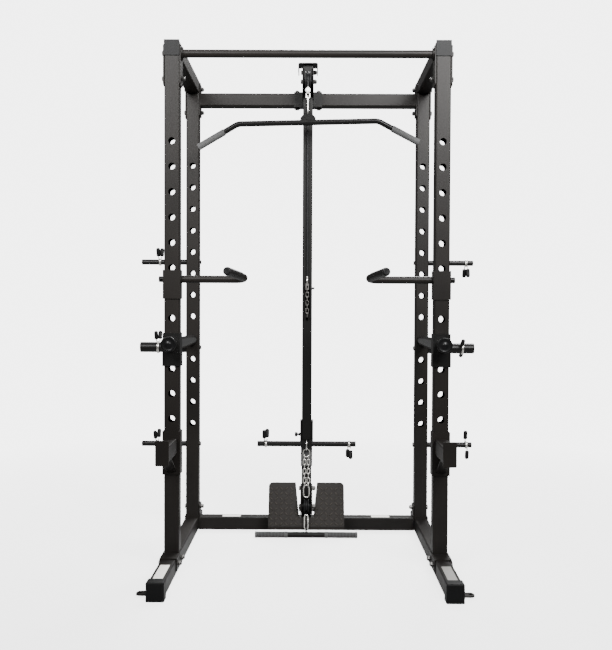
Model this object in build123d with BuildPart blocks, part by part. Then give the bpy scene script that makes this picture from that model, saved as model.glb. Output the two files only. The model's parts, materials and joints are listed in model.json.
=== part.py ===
from build123d import *
import os
from math import cos, radians, sin

# Power cage with a high and a low pulley, dip handles, pin-and-pipe safeties, spotter
# arms and plate pegs. Millimetres, +X right, +Y to the back, +Z up. The origin is on the
# floor, in the middle of the footprint.

os.makedirs("parts", exist_ok=True)

# ---- overall sizes
frame_height = 2100.0
frame_width = 1130.0
cage_depth = 600.0
front_overhang = 370.0
rear_overhang = 70.0

# ---- square tube and sheet
tube = 60.0
wall = 3.0
tube_corner = 6.0
plate = 5.0
fit_gap = 0.3
foot_lift = 5.0

# ---- peg holes up the uprights
hole_d = 27.0
hole_pitch = 100.0
first_hole_z = 505.0
hole_free_top = 300.0

# ---- fasteners
bolt_r = 6.0
bolt_clearance = 0.25
bolt_head_r = 10.4
bolt_head_h = 7.5
nut_h = 10.0

# ---- places worked out from the sizes above
base_length = front_overhang + tube + cage_depth + rear_overhang
upright_x = frame_width / 2 - tube / 2
inner_x = upright_x - tube / 2
outer_x = upright_x + tube / 2
front_y = -base_length / 2 + front_overhang + tube / 2
rear_y = front_y + cage_depth
rail_mid_z = foot_lift + tube / 2
rail_top_z = foot_lift + tube
upright_base_z = rail_top_z + plate
top_rail_z = frame_height - tube
hole_count = int((top_rail_z - hole_free_top - first_hole_z) // hole_pitch) + 1
hole_heights = [first_hole_z + hole_pitch * k for k in range(hole_count)]
sides = (("left", -1), ("right", 1))
bolt_hole_r = bolt_r + bolt_clearance


def save(piece, label):
    piece.part.label = label
    export_step(piece.part, f"parts/{label}.step")


def facing_x(x, y, z, sign=1):
    """A plane that looks along +X or -X, with its own x axis along Y."""
    return Plane(origin=(x, y, z), x_dir=(0, sign, 0), z_dir=(sign, 0, 0))


def facing_y(x, y, z):
    """A plane that looks along +Y, with its own y axis along Z."""
    return Plane(origin=(x, y, z), x_dir=(-1, 0, 0), z_dir=(0, 1, 0))


def upward(x, y, z):
    return Plane(origin=(x, y, z), z_dir=(0, 0, 1))


def round_rod(plane, radius, length):
    with BuildSketch(plane) as profile:
        Circle(radius)
    extrude(profile.sketch, amount=length)


def square_tube(plane, size, length, thickness, corner):
    with BuildSketch(plane) as profile:
        RectangleRounded(size, size, corner)
        inside = size - 2 * thickness
        RectangleRounded(inside, inside, corner - thickness + 0.5, mode=Mode.SUBTRACT)
    extrude(profile.sketch, amount=length)


def bores(planes, radius, length):
    """Round holes that start on each plane and run along its normal."""
    with BuildSketch(*planes) as profile:
        Circle(radius)
    extrude(profile.sketch, amount=length, mode=Mode.SUBTRACT)


def slab(x, y, z):
    """A box between two corners, each given as a pair of low and high."""
    middle = ((x[0] + x[1]) / 2, (y[0] + y[1]) / 2, (z[0] + z[1]) / 2)
    with Locations(middle):
        Box(abs(x[1] - x[0]), abs(y[1] - y[0]), abs(z[1] - z[0]))


# ======================================================================= fasteners
# Each place is (x, y, z) of the head's seat, with the plane facing along the shank.
saddle_wall = 4.0
saddle_front_reach = 78.0
foot_bolt_z = 45.0
head_seat = outer_x + fit_gap + saddle_wall
corner_plate_low = top_rail_z - 116.0
corner_plate_high = top_rail_z + 45.0
corner_bolt_low_z = top_rail_z - 86.0
pull_up_bar_z = top_rail_z + 14.0
rear_top_bolt_z = top_rail_z + 22.0
bottom_bolt_z = rail_top_z + 45.0
rail_bolt_z = rail_mid_z
peg_heights_thin = (405.0, 1258.0)
peg_height_thick = 859.0
peg_heights = (*peg_heights_thin, peg_height_thick)
peg_thread = 24.0
pull_up_thread = 26.0
pull_up_flange = 6.0


def make_bolt(grip, nut=True):
    """A hex bolt seated on XY with its shank up +Z, and a domed nut after the grip."""
    with BuildPart() as bolt:
        with BuildSketch():
            RegularPolygon(bolt_head_r, 6)
        extrude(amount=-bolt_head_h)
        chamfer(bolt.edges().group_by(Axis.Z)[0], 1.2)
        with BuildSketch():
            Circle(bolt_r)
        extrude(amount=grip + (nut_h - 2 if nut else 0))
    pieces = [bolt.part]
    if nut:
        with BuildPart() as dome_nut:
            with BuildSketch(Plane.XY.offset(grip)):
                RegularPolygon(bolt_head_r, 6)
            extrude(amount=nut_h)
            with BuildSketch(Plane.XY.offset(grip + nut_h)):
                Circle(bolt_head_r * 0.8)
            extrude(amount=5)
            fillet(dome_nut.edges().group_by(Axis.Z)[-1], 4)
            with BuildSketch(Plane.XY.offset(grip)):
                Circle(bolt_r + 0.05)
            extrude(amount=nut_h, mode=Mode.SUBTRACT)
        pieces.append(dome_nut.part)
    return pieces


# The mast stands in front of the rear crossmembers, on a thin bracket web.
mast = 45.0
mast_wall = 2.5
mast_web = 4.0
mast_back_y = rear_y - tube / 2 - mast_web
mast_mid_y = mast_back_y - mast / 2
mast_front_y = mast_back_y - mast
mast_bottom_z = 20.0
mast_top_z = frame_height + 57.0
cross_top_z = frame_height - 2 * tube
mast_bolt_xs = (-50.0, 50.0)
head_cheek = 3.0
head_bolt_z = frame_height + 27.0
pulley_z = frame_height - 35.0
cable_r = 3.0
lift_y = mast_front_y - 14.0
pulley_pitch_r = 42.0
pulley_y = lift_y - pulley_pitch_r
low_pitch_r = 28.0
low_cheek = 5.0
low_pulley_z = 140.0
low_pulley_y = lift_y - low_pitch_r
low_bolts_z = (209.0, 110.0)
low_axle = (low_pulley_y, low_pulley_z)
top_axle = (pulley_y, pulley_z)


def sideways(sign, x, y, z):
    """Seat on an outer face, with the shank pointing in towards the middle."""
    return facing_x(sign * x, y, z, -sign)


foot_bolt_ys = (front_y, front_y - saddle_front_reach)
foot_grip = tube + 2 * (saddle_wall + fit_gap)
corner_grip = tube + 2 * plate
bottom_flange = 6.0
fastener_groups = [
    (make_bolt(foot_grip),
     [sideways(s, head_seat, y, foot_bolt_z) for _, s in sides for y in foot_bolt_ys]),
    (make_bolt(corner_grip),
     [sideways(s, outer_x + plate, y, z) for _, s in sides
      for y, z in ((front_y, corner_bolt_low_z), (rear_y, corner_bolt_low_z), (rear_y, rear_top_bolt_z))]),
    (make_bolt(corner_grip + pull_up_flange + pull_up_thread, nut=False),
     [sideways(s, outer_x + plate, front_y, pull_up_bar_z) for _, s in sides]),
    (make_bolt(tube + bottom_flange), [sideways(s, outer_x, rear_y, bottom_bolt_z) for _, s in sides]),
    (make_bolt(tube + bottom_flange + saddle_wall + fit_gap),
     [sideways(s, head_seat, rear_y, rail_bolt_z) for _, s in sides]),
    (make_bolt(tube + peg_thread, nut=False),
     [facing_x(s * inner_x, rear_y, z, s) for _, s in sides for z in peg_heights]),
    (make_bolt(tube + 2 * mast_web),
     [upward(x, rear_y, cross_top_z - mast_web) for x in mast_bolt_xs]),
    (make_bolt(tube + mast_web),
     [facing_y(x, mast_back_y, rail_mid_z) for x in mast_bolt_xs]),
    (make_bolt(mast + 2 * head_cheek),
     [facing_x(-mast / 2 - head_cheek, y, z) for y, z in ((mast_mid_y, head_bolt_z), top_axle)]),
    (make_bolt(mast + 2 * low_cheek),
     [facing_x(-mast / 2 - low_cheek, y, z)
      for y, z in (*((mast_mid_y, z) for z in low_bolts_z), low_axle)]),
]
with BuildPart() as frame_bolts:
    for pieces, places in fastener_groups:
        with Locations(*places):
            for piece in pieces:
                add(piece)
save(frame_bolts, "frame_bolts")

# ======================================================================= base
cap_side = 3.0
cap_rise = 5.0
cap_length = 50.0
cap_end = 3.0
rail_length = base_length - 2 * cap_end
tab_reach = 50.0
tab_length = 45.0
tab_z = foot_lift
tab_hole_r = 7.0
tab_middle_y = -base_length / 2 + cap_length + tab_length / 2 + 2

for side, sign in sides:
    with BuildPart() as base_rail:
        rail_end = facing_y(sign * upright_x, -rail_length / 2, rail_mid_z)
        square_tube(rail_end, tube, rail_length, wall, tube_corner)
        with BuildSketch(Plane.XY.offset(tab_z)):
            with Locations((sign * (outer_x + tab_reach / 2 - 1), tab_middle_y)):
                tab_outline = Rectangle(tab_reach + 2, tab_length)
            outer_end = Axis.X if sign > 0 else -Axis.X
            fillet(tab_outline.vertices().sort_by(outer_end)[-2:], tab_length / 2 - 4)
            with Locations((sign * (outer_x + tab_reach - 14), tab_middle_y)):
                Circle(tab_hole_r, mode=Mode.SUBTRACT)
        extrude(amount=plate)
        bores([sideways(sign, outer_x, y, foot_bolt_z) for y in foot_bolt_ys], bolt_hole_r, tube)
        bores([sideways(sign, outer_x, rear_y, rail_bolt_z)], bolt_hole_r, tube)
    save(base_rail, f"{side}_base_rail")

cap_width = tube + 2 * cap_side
cap_height = tube + foot_lift + cap_rise
top_cap_length = 20.0
top_cap_end = 4.0
top_cap_wall = 2.0
top_rail_length = cage_depth + tube
with BuildPart() as tube_end_caps:
    for _, sign in sides:
        for end in (-1, 1):
            mouth_y = end * (base_length / 2 - cap_length)
            ys = sorted((mouth_y, end * base_length / 2))
            slab((sign * upright_x - cap_width / 2, sign * upright_x + cap_width / 2), ys, (0, cap_height))
    corner_edges = tube_end_caps.edges().filter_by(Axis.Y)
    fillet(corner_edges.group_by(Axis.Z)[-1], 5)
    outer_rims = tube_end_caps.faces().filter_by(Axis.Y)
    for rim in (*outer_rims.group_by(Axis.Y)[0], *outer_rims.group_by(Axis.Y)[-1]):
        chamfer(rim.edges().group_by(Axis.Z)[-1], 4)
    for _, sign in sides:
        for end in (-1, 1):
            mouth_y = end * (base_length / 2 - cap_length)
            floor_y = end * (base_length / 2 - cap_end)
            ys = sorted((mouth_y, floor_y))
            middle = (sign * upright_x, (ys[0] + ys[1]) / 2, rail_mid_z)
            with Locations(middle):
                Box(tube + 0.2, ys[1] - ys[0], tube + 0.02, mode=Mode.SUBTRACT)
            top_mid_z = top_rail_z + tube / 2
            end_y = (front_y + rear_y) / 2 + end * top_rail_length / 2
            plug = sorted((end_y, end_y + end * top_cap_end))
            slab((sign * upright_x - tube / 2 - 0.5, sign * upright_x + tube / 2 + 0.5), plug,
                 (top_mid_z - tube / 2 - 0.5, top_mid_z + tube / 2 + 0.5))
            inside = tube - 2 * wall - 1
            spigot = sorted((end_y, end_y - end * top_cap_length))
            with BuildSketch(facing_y(sign * upright_x, spigot[0], top_mid_z)):
                RectangleRounded(inside, inside, 4)
                Rectangle(inside - 2 * top_cap_wall, inside - 2 * top_cap_wall, mode=Mode.SUBTRACT)
            extrude(amount=top_cap_length)
save(tube_end_caps, "tube_end_caps")

with BuildPart() as upright_feet:
    outer_half = tube / 2 + fit_gap + saddle_wall
    for _, sign in sides:
        plate_x = (sign * upright_x - outer_half, sign * upright_x + outer_half)
        front_ys = (front_y - saddle_front_reach - 30, front_y + tube / 2)
        slab(plate_x, front_ys, (rail_top_z, upright_base_z))
        for inner in (-1, 1):
            reaches = (outer_half, outer_half - saddle_wall)
            leg_x = sorted(sign * upright_x + inner * reach for reach in reaches)
            slab(leg_x, front_ys, (foot_lift + 15, upright_base_z))
        rear_ys = (rear_y - tube / 2, rear_y + tube / 2 + 8)
        rear_x = (sign * upright_x - tube / 2, sign * upright_x + tube / 2)
        slab(rear_x, rear_ys, (rail_top_z, upright_base_z))
        slab(sorted((sign * (outer_x - 2), sign * head_seat)), rear_ys, (rail_top_z, upright_base_z))
        cheek_x = sorted((sign * (outer_x + fit_gap), sign * head_seat))
        slab(cheek_x, rear_ys, (foot_lift + 5, upright_base_z))
        places = [sideways(sign, head_seat + 1, y, foot_bolt_z) for y in foot_bolt_ys]
        bores([*places, sideways(sign, head_seat + 1, rear_y, rail_bolt_z)], bolt_hole_r, foot_grip + 2)
save(upright_feet, "upright_feet")

# ======================================================================= uprights
dip_hole_z = first_hole_z + 6 * hole_pitch + 55.0
dip_pin_r = 8.0
upright_length = top_rail_z - upright_base_z

for place, y_mid in (("front", front_y), ("rear", rear_y)):
    for side, sign in sides:
        with BuildPart() as upright:
            square_tube(Plane(origin=(sign * upright_x, y_mid, upright_base_z), z_dir=(0, 0, 1)),
                        tube, upright_length, wall, tube_corner)
            bores([facing_y(sign * upright_x, y_mid - tube / 2, z) for z in hole_heights], hole_d / 2, tube)
            cross_heights = [corner_bolt_low_z]
            if place == "rear":
                cross_heights += [bottom_bolt_z, *peg_heights]
            else:
                bores([sideways(sign, outer_x, y_mid, dip_hole_z)], dip_pin_r + 0.5, tube)
            bores([sideways(sign, outer_x, y_mid, z) for z in cross_heights], bolt_hole_r, tube)
        save(upright, f"{side}_{place}_upright")

# ======================================================================= top frame
for side, sign in sides:
    with BuildPart() as top_rail:
        square_tube(facing_y(sign * upright_x, front_y - tube / 2, top_rail_z + tube / 2),
                    tube, top_rail_length, wall, tube_corner)
        drills = ((front_y, pull_up_bar_z), (rear_y, rear_top_bolt_z))
        bores([sideways(sign, outer_x, y, z) for y, z in drills], bolt_hole_r, tube)
    save(top_rail, f"{side}_top_rail")

with BuildPart() as corner_plates:
    plate_height = corner_plate_high - corner_plate_low
    plate_mid_z = (corner_plate_high + corner_plate_low) / 2
    for _, sign in sides:
        for x, y in ((outer_x, front_y), (outer_x, rear_y), (inner_x - plate, front_y)):
            with BuildSketch(facing_x(sign * x, y, plate_mid_z, sign)):
                RectangleRounded(tube - 2, plate_height, 10)
            extrude(amount=plate)
        drills = [sideways(sign, outer_x + plate, front_y, z) for z in (corner_bolt_low_z, pull_up_bar_z)]
        drills += [sideways(sign, outer_x + plate, rear_y, z) for z in (corner_bolt_low_z, rear_top_bolt_z)]
        bores(drills, bolt_hole_r, corner_grip)
save(corner_plates, "corner_plates")


def crossmember(mid_z, flange, flange_low, flange_high, bolt_heights):
    """A square tube between the rear uprights with a flange plate on each end."""
    reach = inner_x - flange
    square_tube(facing_x(-reach, rear_y, mid_z), tube, 2 * reach, wall, tube_corner)
    for _, sign in sides:
        with BuildSketch(facing_x(sign * reach, rear_y, (flange_low + flange_high) / 2, sign)) as end_plate:
            RectangleRounded(tube, flange_high - flange_low, 6)
        extrude(end_plate.sketch, amount=flange)
    for _, sign in sides:
        drills = [facing_x(sign * (reach - 1), rear_y, z, sign) for z in bolt_heights]
        bores(drills, bolt_hole_r, flange + 2)


with BuildPart() as top_crossmember:
    crossmember(cross_top_z + tube / 2, plate, corner_plate_low + 11, corner_plate_high,
                (corner_bolt_low_z, rear_top_bolt_z))
    bores([upward(x, rear_y, cross_top_z) for x in mast_bolt_xs], bolt_hole_r, tube)
save(top_crossmember, "top_crossmember")

with BuildPart() as bottom_crossmember:
    crossmember(rail_mid_z, bottom_flange, foot_lift, rail_top_z + 60, (bottom_bolt_z, rail_bolt_z))
    bores([facing_y(x, rear_y - tube / 2, rail_mid_z) for x in mast_bolt_xs], bolt_hole_r, tube)
save(bottom_crossmember, "bottom_crossmember")

pull_up_bar_r = 16.0
pull_up_half = inner_x - plate
with BuildPart() as pull_up_bar:
    with BuildSketch(facing_x(-pull_up_half, front_y, pull_up_bar_z)):
        Circle(pull_up_bar_r)
    extrude(amount=2 * pull_up_half)
    with BuildSketch(facing_x(-pull_up_half + 45, front_y, pull_up_bar_z)):
        Circle(pull_up_bar_r - 2.5)
    extrude(amount=2 * (pull_up_half - 45), mode=Mode.SUBTRACT)
    for _, sign in sides:
        with BuildSketch(sideways(sign, pull_up_half, front_y, pull_up_bar_z)):
            Circle(25)
        extrude(amount=pull_up_flange)
        bores([sideways(sign, pull_up_half, front_y, pull_up_bar_z)], bolt_r + 0.1,
              pull_up_flange + pull_up_thread + 2)
save(pull_up_bar, "pull_up_bar")

# ======================================================================= plate storage pegs
thin_peg_r = 12.5
thick_peg_r = 24.0
thin_peg_length = 210.0
thick_peg_length = 217.0
with BuildPart() as weight_pegs:
    for _, sign in sides:
        for z in peg_heights_thin:
            with BuildSketch(facing_x(sign * outer_x, rear_y, z, sign)):
                Circle(thin_peg_r)
            extrude(amount=thin_peg_length)
        with BuildSketch(facing_x(sign * outer_x, rear_y, peg_height_thick, sign)):
            Circle(thick_peg_r)
        extrude(amount=thick_peg_length)
    for face in weight_pegs.faces().filter_by(Axis.X):
        if abs(face.center().X) > outer_x + 1:
            chamfer(face.edges(), 2)
    for _, sign in sides:
        drills = [facing_x(sign * outer_x, rear_y, z, sign) for z in peg_heights]
        bores(drills, bolt_r + 0.1, peg_thread + 2)
save(weight_pegs, "weight_pegs")

# ======================================================================= pulley mast
bracket_half = 65.0
cover_half = 45.0
cover_leg = 37.0
cover_wall = 4.0
with BuildPart() as mast_post:
    square_tube(Plane(origin=(0, mast_mid_y, mast_bottom_z), z_dir=(0, 0, 1)),
                mast, mast_top_z - mast_bottom_z, mast_wall, 4)
    web_y = (mast_back_y, mast_back_y + mast_web)
    slab((-bracket_half, bracket_half), web_y, (cross_top_z - mast_web, top_rail_z + mast_web))
    for low in (cross_top_z - mast_web, top_rail_z):
        slab((-bracket_half, bracket_half), (mast_back_y, rear_y + 18), (low, low + mast_web))
    slab((-bracket_half, bracket_half), web_y, (foot_lift + 5, rail_top_z - 3))
    bores([upward(x, rear_y, cross_top_z - 10) for x in mast_bolt_xs], bolt_hole_r, tube + 30)
    bores([facing_y(x, mast_back_y - 1, rail_mid_z) for x in mast_bolt_xs], bolt_hole_r, mast_web + 2)
    head_and_foot = [facing_x(-mast / 2 - 1, mast_mid_y, z) for z in (head_bolt_z, *low_bolts_z)]
    bores(head_and_foot, bolt_hole_r, mast + 2)
    with BuildSketch(facing_y(0, mast_front_y - 20, mast_top_z + cover_wall)):
        with Locations((0, -cover_leg / 2)):
            cover_outline = Rectangle(2 * cover_half, cover_leg)
        fillet(cover_outline.vertices().sort_by(Axis.Y)[-2:], 8)
        with Locations((0, -cover_leg / 2 - cover_wall)):
            Rectangle(2 * (cover_half - cover_wall), cover_leg, mode=Mode.SUBTRACT)
    extrude(amount=mast + 40)
save(mast_post, "mast")

with BuildPart() as mast_head_plates:
    for _, sign in sides:
        with BuildSketch(facing_x(sign * mast / 2, 0, 0)):
            with BuildLine():
                Polyline((mast_back_y, head_bolt_z + 16), (mast_back_y, pulley_z - 60),
                         (mast_front_y, pulley_z - 60), (pulley_y, pulley_z - 36),
                         (pulley_y - 27, pulley_z - 18), (pulley_y - 27, pulley_z + 18),
                         (pulley_y, pulley_z + 36),
                         (mast_front_y - 18, head_bolt_z + 16), close=True)
            make_face()
            with Locations((mast_mid_y, head_bolt_z), top_axle):
                Circle(bolt_hole_r, mode=Mode.SUBTRACT)
        extrude(amount=sign * head_cheek)
save(mast_head_plates, "mast_head_plates")

def pulley(y, z, outer_r, rim_width, pitch_r, hub_half):
    """A grooved wheel on an axle along X."""
    groove_r = pitch_r - cable_r - fit_gap
    half = rim_width / 2
    rim_in = groove_r - 5
    with BuildSketch(Plane(origin=(0, y, z), x_dir=(1, 0, 0), z_dir=(0, -1, 0))) as half_section:
        with BuildLine():
            Polyline((-hub_half, bolt_r + 0.05), (-hub_half, 11), (-4, 11), (-4, rim_in), (-half, rim_in),
                     (-half, outer_r), (-7, outer_r), (-cable_r - 0.3, groove_r), (cable_r + 0.3, groove_r),
                     (7, outer_r), (half, outer_r), (half, rim_in), (4, rim_in), (4, 11), (hub_half, 11),
                     (hub_half, bolt_r + 0.05), close=True)
        make_face()
    revolve(half_section.sketch, axis=Axis((0, y, z), (1, 0, 0)))


with BuildPart() as top_pulley:
    pulley(pulley_y, pulley_z, pulley_pitch_r + 3, 24, pulley_pitch_r, mast / 2 - 0.5)
save(top_pulley, "top_pulley")

with BuildPart() as low_pulley:
    pulley(low_pulley_y, low_pulley_z, low_pitch_r + 4, 22, low_pitch_r, mast / 2 - 0.5)
save(low_pulley, "low_pulley")

with BuildPart() as low_pulley_bracket:
    for _, sign in sides:
        with BuildSketch(facing_x(sign * mast / 2, 0, 0)):
            with BuildLine():
                Polyline((mast_back_y, low_bolts_z[0] + 16), (mast_back_y, low_pulley_z - 38),
                         (low_pulley_y - 10, low_pulley_z - 38), (low_pulley_y - 24, low_pulley_z - 22),
                         (low_pulley_y - 24, low_pulley_z + 22), (low_pulley_y - 4, low_pulley_z + 42),
                         (mast_front_y - 6, low_bolts_z[0] + 16), close=True)
            make_face()
            with Locations(*((mast_mid_y, z) for z in low_bolts_z), low_axle):
                Circle(bolt_hole_r, mode=Mode.SUBTRACT)
        extrude(amount=sign * low_cheek)
save(low_pulley_bracket, "low_pulley_bracket")

# ======================================================================= foot plate
foot_width = 348.0
foot_sheet = 4.0
foot_low = (mast_front_y - 51, 48.0)
foot_high = (mast_front_y + 22, 235.0)
foot_lip_z = 34.0
slot_top = 101.0
slot_low = 65.0
slot_low_z = 86.0
with BuildPart() as foot_plate:
    with BuildSketch(facing_x(-foot_width / 2, 0, 0)):
        with BuildLine():
            Polyline((foot_low[0], foot_lip_z), foot_low, foot_high,
                     (foot_high[0] + foot_sheet, foot_high[1]), (foot_low[0] + foot_sheet, foot_low[1]),
                     (foot_low[0] + foot_sheet, foot_lip_z), close=True)
        make_face()
    extrude(amount=foot_width)
    with BuildSketch(facing_y(0, foot_low[0] - 20, (foot_lip_z + foot_high[1]) / 2)):
        front_view = Rectangle(foot_width, foot_high[1] - foot_lip_z)
        fillet(front_view.vertices().group_by(Axis.Y)[-1], 18)
    extrude(amount=150, mode=Mode.INTERSECT)
    with BuildSketch(facing_y(0, foot_low[0] - 20, 0)):
        with BuildLine():
            Polyline((-slot_top / 2, foot_high[1] + 10), (-slot_low / 2, slot_low_z),
                     (slot_low / 2, slot_low_z), (slot_top / 2, foot_high[1] + 10), close=True)
        make_face()
    extrude(amount=150, mode=Mode.SUBTRACT)
    for x in (-120, 120):
        slab((x - 15, x + 15), (foot_low[0] + 6, rear_y - tube / 2), (foot_lip_z + 6, rail_top_z - 3))
save(foot_plate, "foot_plate")

# ======================================================================= weight carriage
liner_gap = 0.4
liner_wall = 4.0
liner_fit = 0.1
sleeve = mast + 2 * (liner_gap + liner_wall + liner_fit + wall)
sleeve_low_z = 408.0
sleeve_height = 118.0
bumper_height = 91.0
sleeve_front_y = mast_mid_y - sleeve / 2
loading_bar_r = 12.5
loading_bar_half = 225.0
loading_bar_z = sleeve_low_z + 16.0
loading_bar_y = sleeve_front_y - 22.0
riser_width = 37.0
riser_depth = 13.0
yoke_low_z = 1007.0
yoke_high_z = 1136.0
yoke_cheek = 5.0
yoke_pin_r = 3.5
yoke_fork = 6.0

with BuildPart() as stop_bumper:
    with BuildSketch(upward(0, mast_mid_y, sleeve_low_z - fit_gap - bumper_height)):
        RectangleRounded(mast + 8, mast + 8, 6)
        Rectangle(mast + 0.1, mast + 0.1, mode=Mode.SUBTRACT)
    extrude(amount=bumper_height)
save(stop_bumper, "stop_bumper")

with BuildPart() as carriage_sleeve:
    square_tube(upward(0, mast_mid_y, sleeve_low_z), sleeve, sleeve_height, wall, tube_corner)
    for _, sign in sides:
        slab(sorted((sign * 9, sign * 23)), (loading_bar_y - 17, sleeve_front_y + 1),
             (loading_bar_z - 17, loading_bar_z + 17))
    bores([facing_x(-30, loading_bar_y, loading_bar_z)], loading_bar_r + 0.05, 60)
    bores([facing_x(-sleeve / 2 - 1, mast_mid_y, sleeve_low_z + 54)], 4.1, wall + 2)
save(carriage_sleeve, "carriage_sleeve")

with BuildPart() as carriage_liners:
    inside = sleeve - 2 * (wall + liner_fit)
    for low in (sleeve_low_z, sleeve_low_z + sleeve_height - 30):
        with BuildSketch(upward(0, mast_mid_y, low)):
            RectangleRounded(inside, inside, 3.4)
            Rectangle(mast + 2 * liner_gap, mast + 2 * liner_gap, mode=Mode.SUBTRACT)
        extrude(amount=30)
save(carriage_liners, "carriage_liners")

with BuildPart() as loading_bar:
    with BuildSketch(facing_x(-loading_bar_half, loading_bar_y, loading_bar_z)):
        Circle(loading_bar_r)
    extrude(amount=2 * loading_bar_half)
    chamfer(loading_bar.edges().group_by(Axis.X)[0], 1.5)
    chamfer(loading_bar.edges().group_by(Axis.X)[-1], 1.5)
save(loading_bar, "loading_bar")

# The riser stands on the sleeve's front and ends in a fork. Two cheeks carry an upper and
# a lower pin, with a short adjusting chain between them.
riser_low_z = loading_bar_z + 18.0
fork_low_z = yoke_low_z - 20.0
with BuildPart() as carriage_riser:
    riser_ys = (sleeve_front_y - riser_depth, sleeve_front_y)
    slab((-riser_width / 2, riser_width / 2), riser_ys, (riser_low_z, fork_low_z))
    for _, sign in sides:
        slab(sorted((sign * yoke_fork, sign * (riser_width / 2 - yoke_cheek))), riser_ys,
             (fork_low_z - 1, yoke_low_z + 10))
        cheek_mid_z = (yoke_low_z + yoke_high_z) / 2
        with BuildSketch(facing_x(sign * riser_width / 2, lift_y, cheek_mid_z, -sign)):
            RectangleRounded(25, yoke_high_z - yoke_low_z + 30, 8)
        extrude(amount=yoke_cheek)
    for z in (yoke_low_z, yoke_high_z):
        with BuildSketch(facing_x(-riser_width / 2 - 4, lift_y, z)):
            Circle(yoke_pin_r)
        extrude(amount=riser_width + 8)
    with BuildSketch(facing_x(riser_width / 2, lift_y, yoke_high_z)):
        Circle(5)
    extrude(amount=15)
save(carriage_riser, "carriage_riser")

# ======================================================================= chains
link_wire_r = 2.0
link_bend_r = 6.0
link_play = 0.9


def chain_link(wire_r, straight, bend_r):
    """One link, long axis Z, flat in the XZ plane, centred on the origin."""
    with BuildPart() as link:
        with BuildLine(Plane.XZ) as centre_line:
            Line((bend_r, -straight / 2), (bend_r, straight / 2))
            CenterArc((0, straight / 2), bend_r, 0, 180)
            Line((-bend_r, straight / 2), (-bend_r, -straight / 2))
            CenterArc((0, -straight / 2), bend_r, 180, 180)
        with BuildSketch(Plane(origin=(bend_r, 0, 0), z_dir=(0, 0, 1))):
            Circle(wire_r)
        sweep(path=centre_line.wires()[0])
    return link.part


def inner_half(straight, bend_r, wire_r):
    """Half of a link's clear length inside."""
    return straight / 2 + bend_r - wire_r


def turned(x, y, z, across):
    """A place for a link, turned a quarter about Z when it lies across."""
    return Location((x, y, z), (0, 0, 90 if across else 0))


yoke_links = 6
chain_low_z = yoke_low_z - yoke_pin_r - fit_gap
chain_high_z = yoke_high_z + yoke_pin_r + fit_gap
yoke_pitch = (chain_high_z - chain_low_z + link_play) / (yoke_links + 1) - link_play
yoke_straight = yoke_pitch + link_play - 2 * (link_bend_r - link_wire_r)
yoke_link = chain_link(link_wire_r, yoke_straight, link_bend_r)
first_link_z = chain_low_z + inner_half(yoke_straight, link_bend_r, link_wire_r)
fitting_top_z = yoke_high_z + 36.0
clevis_ys = (lift_y - 6, lift_y + 6)
with BuildPart() as yoke_chain:
    for k in range(yoke_links + 1):
        with Locations(turned(0, lift_y, first_link_z + k * yoke_pitch, k % 2 == 0)):
            add(yoke_link)
    for _, sign in sides:
        slab(sorted((sign * 3.2, sign * 7)), clevis_ys, (yoke_high_z - 7, yoke_high_z + 22))
    slab((-7, 7), clevis_ys, (yoke_high_z + 12, yoke_high_z + 22))
    bores([facing_x(-8, lift_y, yoke_high_z)], yoke_pin_r + 0.05, 16)
    round_rod(upward(0, lift_y, yoke_high_z + 22), 5.5, fitting_top_z - yoke_high_z - 22)
save(yoke_chain, "yoke_chain")

# The spare chain hangs doubled from a bow round the loading bar, and ends in a snap link.
bow = (2.5, 12.0, 16.0)
master = (2.0, 6.0, 15.0)
snap = (3.0, 30.0, 13.0)
drop_straight = 14.0
drop_pitch = drop_straight + 2 * (link_bend_r - link_wire_r) - link_play
drop_links = 7
strand_x = 9.0
bow_z = loading_bar_z + loading_bar_r + fit_gap - inner_half(bow[1], bow[2], bow[0])
bow_seat_z = bow_z - inner_half(bow[1], bow[2], bow[0])
master_z = bow_seat_z + fit_gap - inner_half(master[1], master[2], master[0])
drop_first_z = master_z - 21.2
drop_last_z = drop_first_z - (drop_links - 1) * drop_pitch
snap_z = drop_last_z - 28.6
drop_link = chain_link(link_wire_r, drop_straight, link_bend_r)
with BuildPart() as drop_chain:
    with Locations(turned(0, loading_bar_y, bow_z, True)):
        add(chain_link(*bow))
    with Locations((0, loading_bar_y, master_z)):
        add(chain_link(*master))
    for _, sign in sides:
        for k in range(drop_links):
            link_z = drop_first_z - k * drop_pitch
            with Locations(turned(sign * strand_x, loading_bar_y, link_z, k % 2 == 0)):
                add(drop_link)
    with Locations((0, loading_bar_y, snap_z)):
        add(chain_link(*snap))
save(drop_chain, "drop_chain")

# ======================================================================= lifting cable
pull_y = pulley_y - pulley_pitch_r
ball_r = 12.0
ball_z = pulley_z - 48.0
eye = (2.5, 6.0, 7.5)
eye_z = ball_z - ball_r - fit_gap - eye[0] - eye[1] / 2 - eye[2]
lat_ring = (4.0, 53.0, 9.0)
eye_seat_z = eye_z - inner_half(eye[1], eye[2], eye[0])
lat_ring_z = eye_seat_z + fit_gap - inner_half(lat_ring[1], lat_ring[2], lat_ring[0])
ring_seat_z = lat_ring_z - inner_half(lat_ring[1], lat_ring[2], lat_ring[0])


with BuildPart() as lift_strand:
    round_rod(upward(0, lift_y, fitting_top_z), cable_r, pulley_z - fitting_top_z)
save(lift_strand, "lift_strand")

with BuildPart() as cable_over_pulley:
    with BuildLine(Plane(origin=(0, pulley_y, pulley_z), x_dir=(0, 1, 0), z_dir=(1, 0, 0))) as over:
        CenterArc((0, 0), pulley_pitch_r, 0, 180)
    with BuildSketch(upward(0, lift_y, pulley_z)):
        Circle(cable_r)
    sweep(path=over.wires()[0])
save(cable_over_pulley, "cable_over_pulley")

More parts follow.
